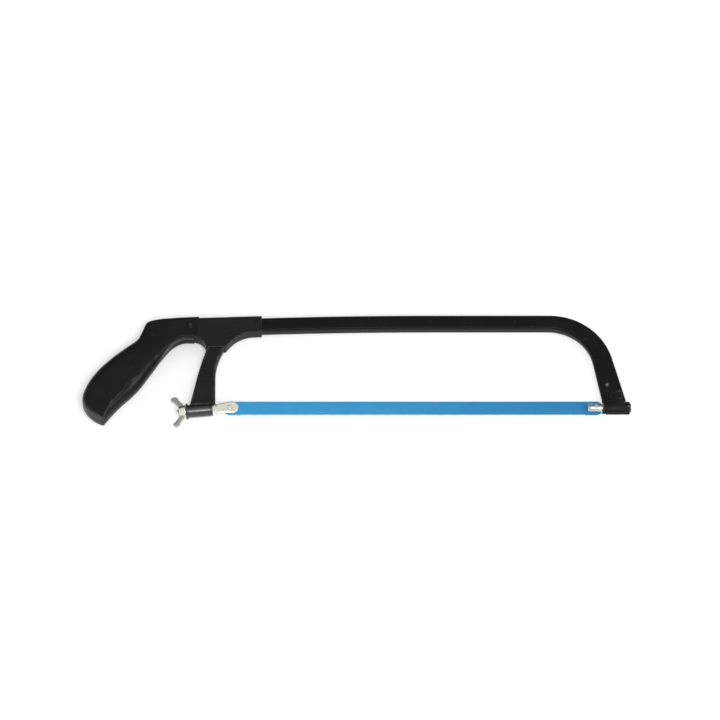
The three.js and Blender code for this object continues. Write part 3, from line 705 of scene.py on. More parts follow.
@dataclass(frozen=True)
class Finish:
    """One finish of the saw."""

    name: str
    slot: str
    colour: Triple
    shade: Triple
    wear_and_highlight: Triple
    roughness: Point
    texture: Texture
    relief: float
    metallic: float = 0.0
    specular: float = 0.5
    painted_shade: Triple | None = None

    def material(self) -> bpy.types.Material:
        """The finish's material, built once."""
        found = bpy.data.materials.get(self.name)
        return found if found else self._build()

    def _build(self) -> bpy.types.Material:
        """Builds the node tree: mottled colour, scuffs, rims lighter by wear and by painted
        highlight, painted shade along X where the finish has one, dust and relief.

        Returns:
            The material.
        """
        material = bpy.data.materials.new(self.name)
        material.use_nodes = True
        tree = material.node_tree
        tree.nodes.clear()
        nodes = Nodes(tree)
        out = nodes.add("ShaderNodeOutputMaterial")
        inputs = {"Metallic": self.metallic, "Specular IOR Level": self.specular}
        shader = nodes.add("ShaderNodeBsdfPrincipled", inputs=inputs)
        nodes.link(shader.outputs[0], out.inputs["Surface"])
        place = nodes.add("ShaderNodeTexCoord").outputs["Object"]
        mottle = nodes.ranged(nodes.noise(place, PATINA.mottle_scale, 4.0), *PATINA.mottle_band)
        scuffs = self._effect(nodes, Effect.SCUFFS, place, PATINA.scuff_scale)
        dust = self._effect(nodes, Effect.DUST, place, PATINA.dust_scale)
        rim = nodes.add("ShaderNodeAttribute", attribute_name=RIM).outputs["Fac"]
        breaks = nodes.ranged(nodes.noise(place, PATINA.break_scale, 5.0), *PATINA.break_band)
        # Rims are drawn lighter, broken up by noise: part wear, part painted highlight of lit
        # edges.
        rubbed_and_lit_rims = nodes.sum("MULTIPLY", nodes.sum("MULTIPLY", rim, breaks), PATINA.rim_wear_and_highlight)
        wear_and_highlight_mask = nodes.sum("MAXIMUM", rubbed_and_lit_rims, nodes.sum("MULTIPLY", scuffs, PATINA.scuff_wear))
        base = nodes.blend(mottle, (*self.colour, 1.0), (*self.shade, 1.0))
        # Painted shade: the colour darkens towards the front along X, standing in for shade along
        # the blade.
        if self.painted_shade:
            along = nodes.add("ShaderNodeSeparateXYZ", inputs={0: place}).outputs["X"]
            painted_shade_share = nodes.ranged(along, *PATINA.painted_shade_band)
            base = nodes.blend(painted_shade_share, base, (*self.painted_shade, 1.0))
        base = nodes.blend(wear_and_highlight_mask, base, (*self.wear_and_highlight, 1.0))
        base = nodes.blend(nodes.sum("MULTIPLY", dust, PATINA.dust_tint), base, PATINA.dust_colour)
        nodes.link(base, shader.inputs["Base Color"])
        gloss = nodes.noise(place, PATINA.gloss_scale, 4.0)
        rough = nodes.ranged(gloss, *PATINA.gloss_band, *self.roughness)
        dulled = nodes.sum("ADD", rough, nodes.sum("MULTIPLY", dust, PATINA.dust_gloss))
        nodes.link(dulled, shader.inputs["Roughness"])
        nodes.link(self._relief(nodes, place, scuffs), shader.inputs["Normal"])
        return material

    @staticmethod
    def _effect(nodes: Nodes, effect: Effect, place: Socket, scale: float) -> Socket:
        """Mask of a shared effect at a scale."""
        inputs = {"Vector": place, "Scale": scale}
        node = nodes.add("ShaderNodeGroup", node_tree=effect_group(effect), inputs=inputs)
        return node.outputs["Mask"]

    def _relief(self, nodes: Nodes, place: Socket, scuffs: Socket) -> Socket:
        """Normal of the finish's own height map.

        Args:
            nodes: The material's nodes.
            place: Object coordinates.
            scuffs: Mask of the scuffs.

        Returns:
            The bumped normal.
        """
        if self.texture is Texture.ORANGE_PEEL:
            height = nodes.noise(place, PATINA.peel_scale, 2.0)
        elif self.texture is Texture.MOULDED:
            height = self._effect(nodes, Effect.GRAIN, place, PATINA.mould_scale)
        elif self.texture is Texture.PLATED:
            lines = nodes.noise(nodes.stretched(place, PATINA.drawn_scale), 1.0, 4.0)
            height = nodes.sum("ADD", lines, nodes.noise(place, PATINA.plating_scale, 3.0))
        else:
            height = nodes.noise(nodes.stretched(place, PATINA.rolled_scale), 1.0, 3.0)
        height = nodes.sum("SUBTRACT", height, nodes.sum("MULTIPLY", scuffs, PATINA.scuff_depth))
        inputs = {"Strength": self.relief, "Distance": PATINA.bump_height, "Height": height}
        return nodes.add("ShaderNodeBump", inputs=inputs).outputs["Normal"]


TUBE_ENAMEL = Finish(
    name="tube_enamel",
    slot="black_paint",
    colour=(0.0046, 0.0046, 0.0049),
    shade=(0.006, 0.006, 0.0064),
    wear_and_highlight=(0.045, 0.045, 0.046),
    roughness=(0.28, 0.38),
    specular=0.07,
    texture=Texture.ORANGE_PEEL,
    relief=0.12,
)
PRESSED_ENAMEL = Finish(
    name="pressed_enamel",
    slot="black_paint",
    colour=(0.0092, 0.0092, 0.0094),
    shade=(0.0114, 0.0114, 0.0116),
    wear_and_highlight=(0.06, 0.06, 0.061),
    roughness=(0.36, 0.46),
    specular=0.07,
    texture=Texture.ORANGE_PEEL,
    relief=0.16,
)
BUSH_ENAMEL = Finish(
    name="bush_enamel",
    slot="black_paint",
    colour=(0.003, 0.003, 0.003),
    shade=(0.005, 0.005, 0.0048),
    wear_and_highlight=(0.08, 0.08, 0.078),
    roughness=(0.26, 0.32),
    specular=0.8,
    texture=Texture.ORANGE_PEEL,
    relief=0.1,
)
GRIP_PLASTIC = Finish(
    name="grip_plastic",
    slot="black_plastic",
    colour=(0.0062, 0.0068, 0.0062),
    shade=(0.0078, 0.0084, 0.0077),
    wear_and_highlight=(0.03, 0.031, 0.029),
    roughness=(0.24, 0.32),
    specular=0.075,
    texture=Texture.MOULDED,
    relief=0.12,
)
# Finishes of the two rivets, drawn lighter on top of their near heads.
TOP_LIGHTENED_ENAMEL = replace(TUBE_ENAMEL, name="top_lightened_enamel", wear_and_highlight=(0.2, 0.2, 0.205))
TOP_LIGHTENED_PLASTIC = replace(GRIP_PLASTIC, name="top_lightened_plastic", wear_and_highlight=(0.06, 0.062, 0.06))
BRIGHT_ZINC = Finish(
    name="bright_zinc",
    slot="zinc",
    colour=(0.87, 0.855, 0.75),
    shade=(0.78, 0.77, 0.68),
    wear_and_highlight=(0.78, 0.77, 0.72),
    roughness=(0.14, 0.24),
    metallic=1.0,
    texture=Texture.PLATED,
    relief=0.1,
)
GREY_ZINC = replace(
    BRIGHT_ZINC, name="grey_zinc", colour=(0.58, 0.59, 0.61), shade=(0.47, 0.48, 0.5)
)
CAST_ZINC = Finish(
    name="cast_zinc",
    slot="zinc",
    colour=(0.4, 0.4, 0.382),
    shade=(0.32, 0.32, 0.306),
    wear_and_highlight=(0.6, 0.6, 0.57),
    roughness=(0.34, 0.5),
    metallic=1.0,
    texture=Texture.ORANGE_PEEL,
    relief=0.3,
)
OILED_STEEL = Finish(
    name="oiled_steel",
    slot="zinc",
    colour=(0.05, 0.05, 0.052),
    shade=(0.03, 0.03, 0.031),
    wear_and_highlight=(0.2, 0.2, 0.2),
    roughness=(0.32, 0.46),
    metallic=0.8,
    texture=Texture.PLATED,
    relief=0.15,
)
BLADE_LACQUER = Finish(
    name="blade_lacquer",
    slot="blue_paint",
    colour=(0.032, 0.232, 0.455),
    shade=(0.038, 0.258, 0.49),
    wear_and_highlight=(0.34, 0.36, 0.38),
    roughness=(0.32, 0.42),
    specular=0.12,
    texture=Texture.LACQUER,
    relief=0.08,
    # Painted shade: darker colour that the blade blends to towards its front.
    painted_shade=(0.021, 0.158, 0.335),
)


@dataclass
class SubAssembly:
    """What each sub-assembly shares: it dresses its pieces and reports them."""

    body: str = "frame"

    def dress(
        self,
        piece: Piece,
        node: str,
        finish: Finish,
        place: Matrix = SAW_PLACE,
        *,
        smooth: float,
        body: str = "",
    ) -> None:
        """Brings a finished mesh into the part's frame and lets it stand for its solid.

        Args:
            piece: Mesh drawn in millimetres.
            node: Solid that it stands for.
            finish: Its finish.
            place: Matrix from the drawing to the part's frame.
            smooth: Angle in degrees up to which its edges are shaded smooth.
            body: Body that it rides on, if not the sub-assembly's own.
        """
        Bench.polish(piece, smooth)
        Bench.shift(piece, place)
        if not any(piece.data.materials):
            piece.data.materials.clear()
            piece.data.materials.append(finish.material())
        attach(piece, body or self.body)
        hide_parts(node)
        LOG.info("%s: %d faces on %s", piece.name, len(piece.data.polygons), body or self.body)


@dataclass
class FrameTube(SubAssembly):
    """Bent tube of the frame, flared and flattened towards its foot."""

    corner: float = 1.8
    foot_height: float = 19.6
    foot_width: float = 6.0
    foot_corner: float = 2.9
    foot_outer_corner: float = 7.0
    crimp_depth: float = 0.5
    crimp_from: float = 0.86
    crimp_to: float = 0.985
    crimp_count: int = 4
    crimp_in: Point = (0.2, 0.6)
    crimp_out: Point = (0.85, 1.0)
    leg_steps: int = 60
    bend_radius: float = 45.0
    tang: float = 20.0
    bend_steps: int = 44
    camber_steps: int = 10
    corner_steps: int = 8

    @property
    def sweep(self) -> float:
        """Angle of the front bend."""
        return math.pi / 2 - PLAN.front_lean

    @property
    def bend_end_y(self) -> float:
        """Height at which the front bend ends."""
        return PLAN.back_height - self.bend_radius * (1 - math.cos(self.sweep))

    @property
    def flare_length(self) -> float:
        """Length of the axis from the start of the bend to the blade's line."""
        return self.bend_radius * self.sweep + self.bend_end_y / math.cos(PLAN.front_lean)

    def stations(self) -> list[tuple[float, float, float, float]]:
        """Centre line as place, direction and how far the tube has flared."""
        rear = PLAN.handle_front_x - self.tang
        found = [(x, PLAN.axis_y(x), PLAN.camber, 0.0) for x in (rear, PLAN.mouth_x)]
        radius = PLAN.camber_run / math.sin(PLAN.camber)
        for step in range(1, self.camber_steps + 1):
            turn = PLAN.camber * (1 - step / self.camber_steps)
            x = PLAN.mouth_x + PLAN.camber_run - radius * math.sin(turn)
            found.append((x, PLAN.back_height - radius * (1 - math.cos(turn)), turn, 0.0))
        sweep, length = self.sweep, self.flare_length
        lean = math.tan(PLAN.front_lean)
        start_x = PLAN.foot_x - self.bend_end_y * lean - self.bend_radius * math.sin(sweep)
        for step in range(self.bend_steps + 1):
            turn = sweep * step / self.bend_steps
            x = start_x + self.bend_radius * math.sin(turn)
            y = PLAN.back_height - self.bend_radius * (1 - math.cos(turn))
            found.append((x, y, -turn, self.bend_radius * turn / length))
        bend = found[-1]
        for step in range(1, self.leg_steps + 1):
            share = step / self.leg_steps
            x, y = mix(bend[0], PLAN.foot_x, share), mix(bend[1], 0.0, share)
            found.append((x, y, -sweep, mix(bend[3], 1.0, share)))
        return found

    def section(self, station: tuple[float, float, float, float], grow: float = 0.0) -> Ring:
        """Rounded rectangle of the tube at a station.

        Args:
            station: Place, direction and flare.
            grow: Distance that the section is grown by.

        Returns:
            Its points.
        """
        x, y, turn, flare = station
        height = mix(PLAN.tube_height, self.foot_height, flare) / 2 + grow
        width = mix(PLAN.tube_width, self.foot_width, flare) / 2 + grow
        corner = mix(self.corner, self.foot_corner, flare) + grow
        outer = mix(self.corner, self.foot_outer_corner, flare) + grow
        ring = []
        for up, out in ((1, 1), (-1, 1), (-1, -1), (1, -1)):
            quarter = math.atan2(out, up) - math.pi / 4
            reach = outer if up > 0 else corner
            for step in range(self.corner_steps + 1):
                angle = quarter + math.pi / 2 * step / self.corner_steps
                across = up * (height - reach) + reach * math.cos(angle)
                rise = out * (width - corner) + corner * math.sin(angle)
                rise -= out * self.crimp(flare, across / height)
                shift = (-across * math.sin(turn), across * math.cos(turn))
                ring.append(Vector((x + shift[0], y + shift[1], rise)))
        return ring

    def crimp(self, flare: float, across: float) -> float:
        """Depth of the press marks on the outer edge above the foot."""
        if not self.crimp_from < flare < self.crimp_to:
            return 0.0
        place = (flare - self.crimp_from) / (self.crimp_to - self.crimp_from)
        wave = math.sin(math.pi * place * self.crimp_count) ** 2
        band = ease(*self.crimp_in, across) * (1 - ease(*self.crimp_out, across))
        return self.crimp_depth * wave * band

    def mark_crimps(self, tube: Piece) -> None:
        """Marks the press marks to be drawn lighter, from each point's place on the front leg."""
        cos, sin = math.cos(self.sweep), math.sin(self.sweep)
        values = []
        for vert in tube.data.vertices:
            right, up = vert.co.x - PLAN.foot_x, vert.co.y
            flare = 1 + (right * cos - up * sin) / self.flare_length
            across = right * sin + up * cos
            height = mix(PLAN.tube_height, self.foot_height, flare) / 2
            values.append(self.crimp(flare, across / height) / self.crimp_depth)
        Bench.mark_wear_and_highlight(tube, values)

    def room(self, grow: float, rear: float, front: float) -> Piece:
        """Solid that the tube's straight rear end fills, with room round it."""
        ends = [(x, PLAN.axis_y(x), PLAN.camber, 0.0) for x in (rear, front)]
        return Bench.loft("tube_room", [self.section(end, grow) for end in ends])

    def build(self) -> None:
        """Lofts the tube and cuts its foot level above the nose."""
        rings = [self.section(station) for station in self.stations()]
        tube = Bench.loft("tube", rings)
        self.mark_crimps(tube)
        Bench.slice(tube, (PLAN.foot_x, PLAN.foot_y, 0), (0, 1, 0), keep_below=False)
        self.dress(tube, "frame_tube", TUBE_ENAMEL, smooth=28)


@dataclass
class Bracket(SubAssembly):
    """Pressed bracket round the tube, with its pin."""

    sheet: float = 0.9
    sheet_fit: float = 0.2
    edge: float = 0.6
    joint_gap: float = -0.5
    handle_lean: float = 3.0
    rear_slant: float = 4.0
    shoulder: float = 4.2
    fillet_run: float = 7.0
    rear_curve: Point = (1.6, 1.2)
    front_curve: Point = (8.4, 1.3)
    rear_steps: int = 14
    front_steps: int = 18
    rim_steps: int = 5
    mouth_depth: float = 14.0
    mouth_cut: float = 3.0
    leg_fit: float = 0.25
    lip_depth: float = 6.0
    pin_setback: float = 5.0
    pin_rise: float = 1.6
    pin_diameter: float = 3.0
    dimple: Profile = ((0.35, 0.0133), (0.1, 0.55), (-0.12, 0.75))

    @property
    def half(self) -> float:
        """Half the bracket's thickness."""
        return PLAN.tube_width / 2 + self.sheet_fit + self.sheet

    def edge_y(self, x: float, side: int) -> float:
        """Height of the shell's roof, with side 1, or its floor, with side -1."""
        return PLAN.axis_y(x) + side * (PLAN.tube_height / 2 + self.sheet_fit + self.sheet)

    def outline(self) -> list[Point]:
        """Outline of the bracket, from its mouth round to its lip."""
        mouth = PLAN.mouth_x
        mouth_low = self.edge_y(mouth, -1)
        rear_top = PLAN.handle_front_x + self.handle_lean + self.joint_gap
        rear_low = rear_top - self.rear_slant
        low_y = PLAN.axis_y(PLAN.handle_front_x) - PLAN.tube_height / 2 - self.shoulder
        fillet_x = mouth - self.fillet_run
        fillet = (fillet_x, self.edge_y(fillet_x, -1))
        lip_rear, lip_front = (PLAN.lip_rear_x, PLAN.lip_y), (PLAN.lip_front_x, PLAN.lip_y)
        rear_control = (PLAN.lip_rear_x - self.rear_curve[0], low_y - self.rear_curve[1])
        front_control = (PLAN.lip_front_x + self.front_curve[0], mouth_low - self.front_curve[1])
        points = [(mouth, mouth_low), (mouth, self.edge_y(mouth, 1))]
        points += [(rear_top, self.edge_y(rear_top, 1)), (rear_low, low_y)]
        points += quadratic(points[-1], rear_control, lip_rear, self.rear_steps)
        points.append(lip_front)
        points += quadratic(lip_front, front_control, fillet, self.front_steps)
        return points

    def build(self, tube: FrameTube, leg: "RearLeg") -> None:
        """Builds the shell with its open mouth and lip, and the pin through it.

        Args:
            tube: Tube that runs through the bracket.
            leg: Leg that stands in its lip.
        """
        edges = (-self.half, self.half, self.edge)
        shell = Bench.pillow("bracket_shell", self.outline(), *edges, steps=self.rim_steps)
        mouth = PLAN.mouth_x
        ends = (mouth - self.mouth_depth, mouth + self.mouth_cut)
        Bench.combine(shell, tube.room(self.sheet_fit, *ends))
        thick = leg.half + self.leg_fit
        room = Bench.pillow("leg_room", leg.outline(self.leg_fit), -thick, thick, leg.edge)
        Bench.slice(room, (0, PLAN.lip_y + self.lip_depth, 0), (0, 1, 0), keep_below=True)
        Bench.combine(shell, room)
        self.dress(shell, "bracket", PRESSED_ENAMEL, smooth=30)
        self.build_pin()

    def build_pin(self) -> None:
        """Turns the pin through the bracket and the tube, dimpled at both ends."""
        x = PLAN.mouth_x - self.pin_setback
        radius, reach = self.pin_diameter / 2, self.half
        dimple = [(depth - reach, radius * share) for depth, share in self.dimple]
        side = [(-reach, radius), (reach, radius)]
        profile = dimple + side + [(-a, r) for a, r in reversed(dimple)]
        pin = Bench.turned("bracket_pin", profile, segments=32, axis="Z")
        Bench.shift(pin, Matrix.Translation((x, PLAN.axis_y(x) + self.pin_rise, 0)))
        self.dress(pin, "tube_pin", TUBE_ENAMEL, smooth=40)


@dataclass
class RearLeg(SubAssembly):
    """Leg from the bracket down to the guide bush."""

    thickness: float = 9.6
    edge: float = 2.1
    foot_front_x: float = -11.8
    foot_width: float = 21.0
    foot_drop: float = 3.4
    waist_drop: float = 26.6
    flare: float = 14.0
    spread: float = 5.5
    bow: float = 3.7
    head_inset: Point = (1.1, 1.5)
    head_slope: float = 5.0
    head_rise: float = 2.0
    heel_drop: float = 2.0
    curve_steps: int = 18
    rim_steps: int = 6
    saddle_fit: float = 0.05
    saddle_cut: float = 4.0

    @property
    def half(self) -> float:
        """Half the leg's thickness."""
        return self.thickness / 2

    def outline(self, grow: float = 0.0) -> list[Point]:
        """Outline from the foot on the bush up into the bracket."""
        rear = self.foot_front_x - self.foot_width - grow
        front = self.foot_front_x + grow
        foot_y = (self.foot_front_x - self.foot_width) * math.sin(PLAN.cant) + self.foot_drop
        top = PLAN.axis_y(PLAN.lip_rear_x) - PLAN.tube_height / 2 - PLAN.fit
        waist = PLAN.lip_y - self.waist_drop
        head_front = PLAN.lip_front_x - self.head_inset[0] + grow
        head_rear = PLAN.lip_rear_x + self.head_inset[1] - grow
        points = [(rear, foot_y), (front, foot_y), (front, waist)]
        neck = (head_front, PLAN.lip_y)
        points += quadratic((front, waist), (front, waist + self.flare), neck, self.curve_steps)
        points += [(head_front, top - self.head_slope), (head_rear, top)]
        points.append((head_rear, PLAN.lip_y + self.head_rise))
        heel = (rear + self.spread, waist - self.heel_drop)
        bow = (heel[0] + self.bow, waist + self.flare)
        points += quadratic(points[-1], bow, heel, self.curve_steps)
        return points

    def build(self) -> None:
        """Builds the leg with its saddle on the bush."""
        edges = (-self.half, self.half, self.edge)
        leg = Bench.pillow("leg", self.outline(), *edges, steps=self.rim_steps)
        radius = PLAN.bush_diameter / 2 + self.saddle_fit
        ends = [(PLAN.bush_rear_x - self.saddle_cut, radius), (self.saddle_cut, radius)]
        saddle = Bench.turned("saddle", ends, segments=64)
        Bench.shift(saddle, Matrix.Rotation(PLAN.cant, 4, "Z"))
        Bench.combine(leg, saddle)
        self.dress(leg, "rear_leg", PRESSED_ENAMEL, smooth=30)


@dataclass
class Tensioner(SubAssembly):
    """Guide bush, tension bolt, wing nut and the rear blade pin, on the canted axis."""

    paddle_radius: float = 5.2
    paddle_tip: float = 7.4
    neck_height: float = 7.0
    paddle_thickness: float = 2.6
    thread_diameter: float = 6.0
    thread_pitch: float = 1.0
    thread_overhang: float = 1.8
    thread_run: float = 16.0
    thread_root: float = 0.5
    thread_depth: float = 0.45
    thread_flat: float = 0.15
    thread_core: float = 0.4
    thread_lead: float = 0.55
    thread_rings: int = 6
    thread_sides: int = 32
    nut_length: float = 5.6
    nut_base: float = 11.6
    nut_top: float = 9.0
    wing_span: float = 27.0
    wing_tip: float = 3.1
    wing_sweep: float = 8.0
    wing_thickness: float = 2.4
    wing_edge: float = 1.1
    wing_inset: Point = (0.8, 0.4)
    wing_root: float = 1.2
    wing_belly: float = 1.2
    wing_swell: Point = (1.3, 1.2)
    wing_steps: int = 10
    wing_facets: int = 14
    wing_rim_steps: int = 5
    hub_core: float = 2.0
    hub_base: Profile = ((0.0, 0.35), (0.3, 0.0), (1.0, 0.0), (1.5, 0.5))
    hub_top: Profile = ((0.6, 0.0), (0.15, 0.2), (0.0, 0.7))
    tap_fit: float = 0.07
    tap_cut: float = 2.0
    bore_core: float = 4.4
    bush_edge: float = 0.5
    collar_root: float = 0.25
    bead: Profile = ((2.0, 0.0), (1.8, 0.35), (1.45, 0.35), (1.25, 0.0))
    neck_gap: float = 1.0
    paddle_edge: float = 1.05
    paddle_steps: int = 5
    paddle_facets: int = 32
    shank_relief: float = 0.02

    @property
    def seat_x(self) -> float:
        """Seat of the nut behind the bush."""
        return PLAN.bush_rear_x - PLAN.fit

    @property
    def nut_rear_x(self) -> float:
        """Rear face of the nut's hub."""
        return self.seat_x - self.nut_length

    def build(self) -> None:
        """Builds the four pieces."""
        self.build_bush()
        self.build_bolt()
        self.build_nut()
        self.build_pin()

    def build_bush(self) -> None:
        """Turns the flanged bush with its front bead and square bore."""
        rear, front = PLAN.bush_rear_x, PLAN.bush_front_x
        radius, collar = PLAN.bush_diameter / 2, PLAN.collar_diameter / 2
        collar_front = rear + PLAN.collar_length
        profile = [(rear, self.bore_core), *bevelled(rear, collar, self.bush_edge, 1)]
        profile += reversed(bevelled(collar_front, collar, self.bush_edge, -1))
        root = self.collar_root
        profile += [(collar_front, radius + root), (collar_front + root, radius)]
        profile += [(front - back, radius - depth) for back, depth in self.bead]
        profile += [*reversed(bevelled(front, radius, self.bush_edge, -1)), (front, self.bore_core)]
        bush = Bench.turned("guide_bush_body", profile, segments=72)
        cut_square_bore(bush, rear, front)
        self.dress(bush, "guide_bush", BUSH_ENAMEL, CANTED_PLACE, smooth=30)

    def build_bolt(self) -> None:
        """Builds the paddle, the square shank and the threaded tail."""
        neck = PLAN.bush_front_x + self.neck_gap
        tail = self.nut_rear_x - self.thread_overhang
        thread_front = tail + self.thread_run
        centre = self.paddle_tip - self.paddle_radius
        half_neck = self.neck_height / 2
        outline = [(neck, half_neck), (neck, -half_neck)]
        outline += arc((centre, 0.0), self.paddle_radius, -90, 90, self.paddle_facets)
        edges = (0.0, self.paddle_thickness, self.paddle_edge)
        paddle = Bench.pillow("tension_bolt_body", outline, *edges, steps=self.paddle_steps)
        ends = (-OVERCUT, self.paddle_thickness + OVERCUT)
        Bench.drill(paddle, (0.0, 0.0), PLAN.pin_hole, ends)
        side = PLAN.shank / 2
        high = (neck + side, side, side - self.shank_relief)
        shank = Bench.bar("shank", (thread_front, -side, -side), high, PLAN.shank_edge)
        thread = self.thread(tail, thread_front + self.thread_root)
        Bench.join(paddle, shank, thread)
        bolt = "tension_bolt"
        self.dress(paddle, bolt, BRIGHT_ZINC, CANTED_PLACE, smooth=32, body=bolt)

    def thread(self, rear: float, front: float) -> Piece:
        """Threaded bar along X, cut as a helix.

        Args:
            rear: Its free end.
            front: Its end in the shank.

        Returns:
            The object.
        """
        crest = self.thread_diameter / 2 - self.thread_flat
        step = self.thread_pitch / self.thread_rings
        sides = self.thread_sides
        rings = [[self.on_axis(rear, self.thread_core, i / sides) for i in range(sides)]]
        for ring in range(int((front - rear) / step) + 1):
            turns = ring * step / self.thread_pitch
            lead = min(1.0, self.thread_lead + (1 - self.thread_lead) * turns)
            points = []
            for i in range(sides):
                phase = (turns - i / sides) % 1.0
                groove = self.thread_depth * (1 - abs(2 * phase - 1))
                points.append(self.on_axis(rear + ring * step, (crest - groove) * lead, i / sides))
            rings.append(points)
        return Bench.loft("thread", rings)

    @staticmethod
    def on_axis(along: float, radius: float, share: float) -> Vector:
        """Point at a share of a turn round the X axis."""
        turn = 2 * math.pi * share
        return Vector((along, radius * math.cos(turn), radius * math.sin(turn)))

    def build_nut(self) -> None:
        """Builds the wing nut: a coned hub and two swept wings."""
        seat, rear = self.seat_x, self.nut_rear_x
        base, top = self.nut_base / 2, self.nut_top / 2
        profile = [(seat, self.hub_core)]
        profile += [(seat - back, base - drop) for back, drop in self.hub_base]
        profile += [(rear + ahead, top - drop) for ahead, drop in self.hub_top]
        profile.append((rear, self.hub_core))
        hub = Bench.turned("wing_nut_body", profile, segments=56)
        hub.data.materials.append(BRIGHT_ZINC.material())
        half = self.wing_thickness / 2
        for side in (1, -1):
            edges = (-half, half, self.wing_edge)
            wing = Bench.pillow("wing", self.wing(side), *edges, steps=self.wing_rim_steps)
            wing.data.materials.append(CAST_ZINC.material())
            Bench.combine(hub, wing, "UNION")
        radius = self.thread_diameter / 2 + self.tap_fit
        ends = [(rear - self.tap_cut, radius), (seat + self.tap_cut, radius)]
        Bench.combine(hub, Bench.turned("tapping", ends, segments=40))
        self.dress(hub, "wing_nut", BRIGHT_ZINC, CANTED_PLACE, smooth=34, body="wing_nut")

    def wing(self, side: int) -> list[Point]:
        """Outline of one wing, swept to the rear with a rounded tip."""
        front, rear = self.seat_x - self.wing_inset[0], self.nut_rear_x + self.wing_inset[1]
        base, top = self.nut_base / 2, self.nut_top / 2
        reach = self.wing_span / 2 - self.wing_tip
        tip_x = self.seat_x - self.wing_sweep
        points = [(front, 0.0), (front, base - self.wing_root)]
        belly = (front - self.wing_belly, base * self.wing_swell[0])
        points += quadratic(points[-1], belly, (tip_x + self.wing_tip, reach), self.wing_steps)
        points += arc((tip_x, reach), self.wing_tip, 0, 180, self.wing_facets)[1:]
        belly = (rear - self.wing_belly, base * self.wing_swell[1])
        points += quadratic(points[-1], belly, (rear, top - self.wing_root), self.wing_steps)
        points.append((rear, 0.0))
        return [(x, side * y) for x, y in points]

    def build_pin(self) -> None:
        """Turns the rear blade pin, peened on the paddle's face."""
        pin = blade_pin("rear_pin", self.paddle_thickness)
        bolt = "tension_bolt"
        self.dress(pin, "rear_blade_pin", BRIGHT_ZINC, CANTED_PLACE, smooth=40, body=bolt)


def cut_square_bore(piece: Piece, rear: float, front: float) -> None:
    """Cuts the bore that a holder's square shank slides in."""
    side = PLAN.shank / 2 + PLAN.fit
    low, high = (rear - OVERCUT, -side, -side), (front + OVERCUT, side, side)
    Bench.combine(piece, Bench.bar("bore", low, high))


def blade_pin(name: str, face: float) -> Piece:
    """Pin along Z that hooks the blade, with a peened end in its holder's face.

    Args:
        name: Name of the piece.
        face: Height of the holder's face.

    Returns:
        The object, on the Z axis.
    """
    radius, low = PLAN.pin_diameter / 2, -PLAN.pin_reach
    profile = [(low + rise, radius - inset) for rise, inset in PIN_TIP]
    profile += [(face - drop, radius - inset) for drop, inset in PIN_PEEN]
    profile.append((face, PIN_CORE))
    return Bench.turned(name, profile, segments=40, axis="Z")


def headed_rivet(name: str, face: float, shank: float, crown: Sequence[Point]) -> Piece:
    """Rivet along Z with a low head on each face, drawn lighter on top of its near head.

    Args:
        name: Name of the piece.
        face: Height of the faces that it holds.
        shank: Radius of its shank.
        crown: Corners of a head as rise above the face and radius.

    Returns:
        The object, on the Z axis.
    """
    head = [(face + rise, radius) for rise, radius in crown]
    inner = face - RIVET_NECK
    profile = [(-along, radius) for along, radius in reversed(head)]
    profile += [(-inner, shank), (inner, shank), *head]
    rims = [0.0] * (len(profile) - 2) + [1.0, 1.0]
    return Bench.turned(name, profile, segments=40, axis="Z", rims=rims)


@dataclass
class FrontHold(SubAssembly):
    """Front holder with its blade pin and its cross pin."""

    body: str = "front_holder"
    bar_diameter: float = 7.0
    bar_tip: float = 7.3
    tip_profile: Profile = ((0.0, 0.7), (0.2, 0.3), (0.7, 0.0))
    head_edge: float = 0.4
    head_core: float = 1.0
    shank_gap: float = 0.1
    shank_reach: float = 1.0
    cut: float = 8.0
    retainer_diameter: float = 2.4
    retainer_inset: float = 0.3
    retainer_edge: Point = (0.3, 0.4)

    def build(self) -> None:
        """Builds the holder and the two pins."""
        self.build_bar()
        pin = blade_pin("front_pin", self.bar_diameter / 2)
        Bench.shift(pin, Matrix.Translation((PLAN.pin_spacing, 0, 0)))
        self.dress(pin, "front_blade_pin", GREY_ZINC, smooth=40)
        reach, thick = PLAN.bush_diameter / 2 - self.retainer_inset, self.retainer_diameter / 2
        along, inset = self.retainer_edge
        ends = [(-reach, thick - inset), (-reach + along, thick)]
        ends += [(-place, radius) for place, radius in reversed(ends)]
        cross = Bench.turned("cross_pin", ends, segments=32, axis="Z")
        Bench.shift(cross, Matrix.Translation((PLAN.nose_front_x - thick, 0, 0)))
        self.dress(cross, "front_retainer", OILED_STEEL, smooth=40)

    def build_bar(self) -> None:
        """Builds the half-cut bar with its square shank."""
        rear = PLAN.pin_spacing - self.bar_tip
        head = PLAN.nose_rear_x - PLAN.travel_gap
        radius, side = self.bar_diameter / 2, PLAN.shank / 2
        profile = [(rear + along, radius - inset) for along, inset in self.tip_profile]
        edge = self.head_edge
        profile += [(head - edge, radius), (head, radius - edge), (head, self.head_core)]
        bar = Bench.turned("front_holder_body", profile, segments=64)
        relief = PLAN.pin_spacing + PLAN.blade_margin + PLAN.fit
        low, high = (rear - OVERCUT, -self.cut, -self.cut), (relief, self.cut, 0.0)
        Bench.combine(bar, Bench.bar("flat", low, high))
        Bench.drill(bar, (PLAN.pin_spacing, 0.0), PLAN.pin_hole, (-OVERCUT, self.cut))
        bar.data.materials.append(GREY_ZINC.material())
        low = (relief + self.shank_gap, -side, -side)
        high = (PLAN.nose_front_x + self.shank_reach, side, side)
        shank = Bench.bar("shank", low, high, PLAN.shank_edge)
        shank.data.materials.append(OILED_STEEL.material())
        Bench.combine(bar, shank, "UNION")
        self.dress(bar, "front_holder", GREY_ZINC, smooth=32)


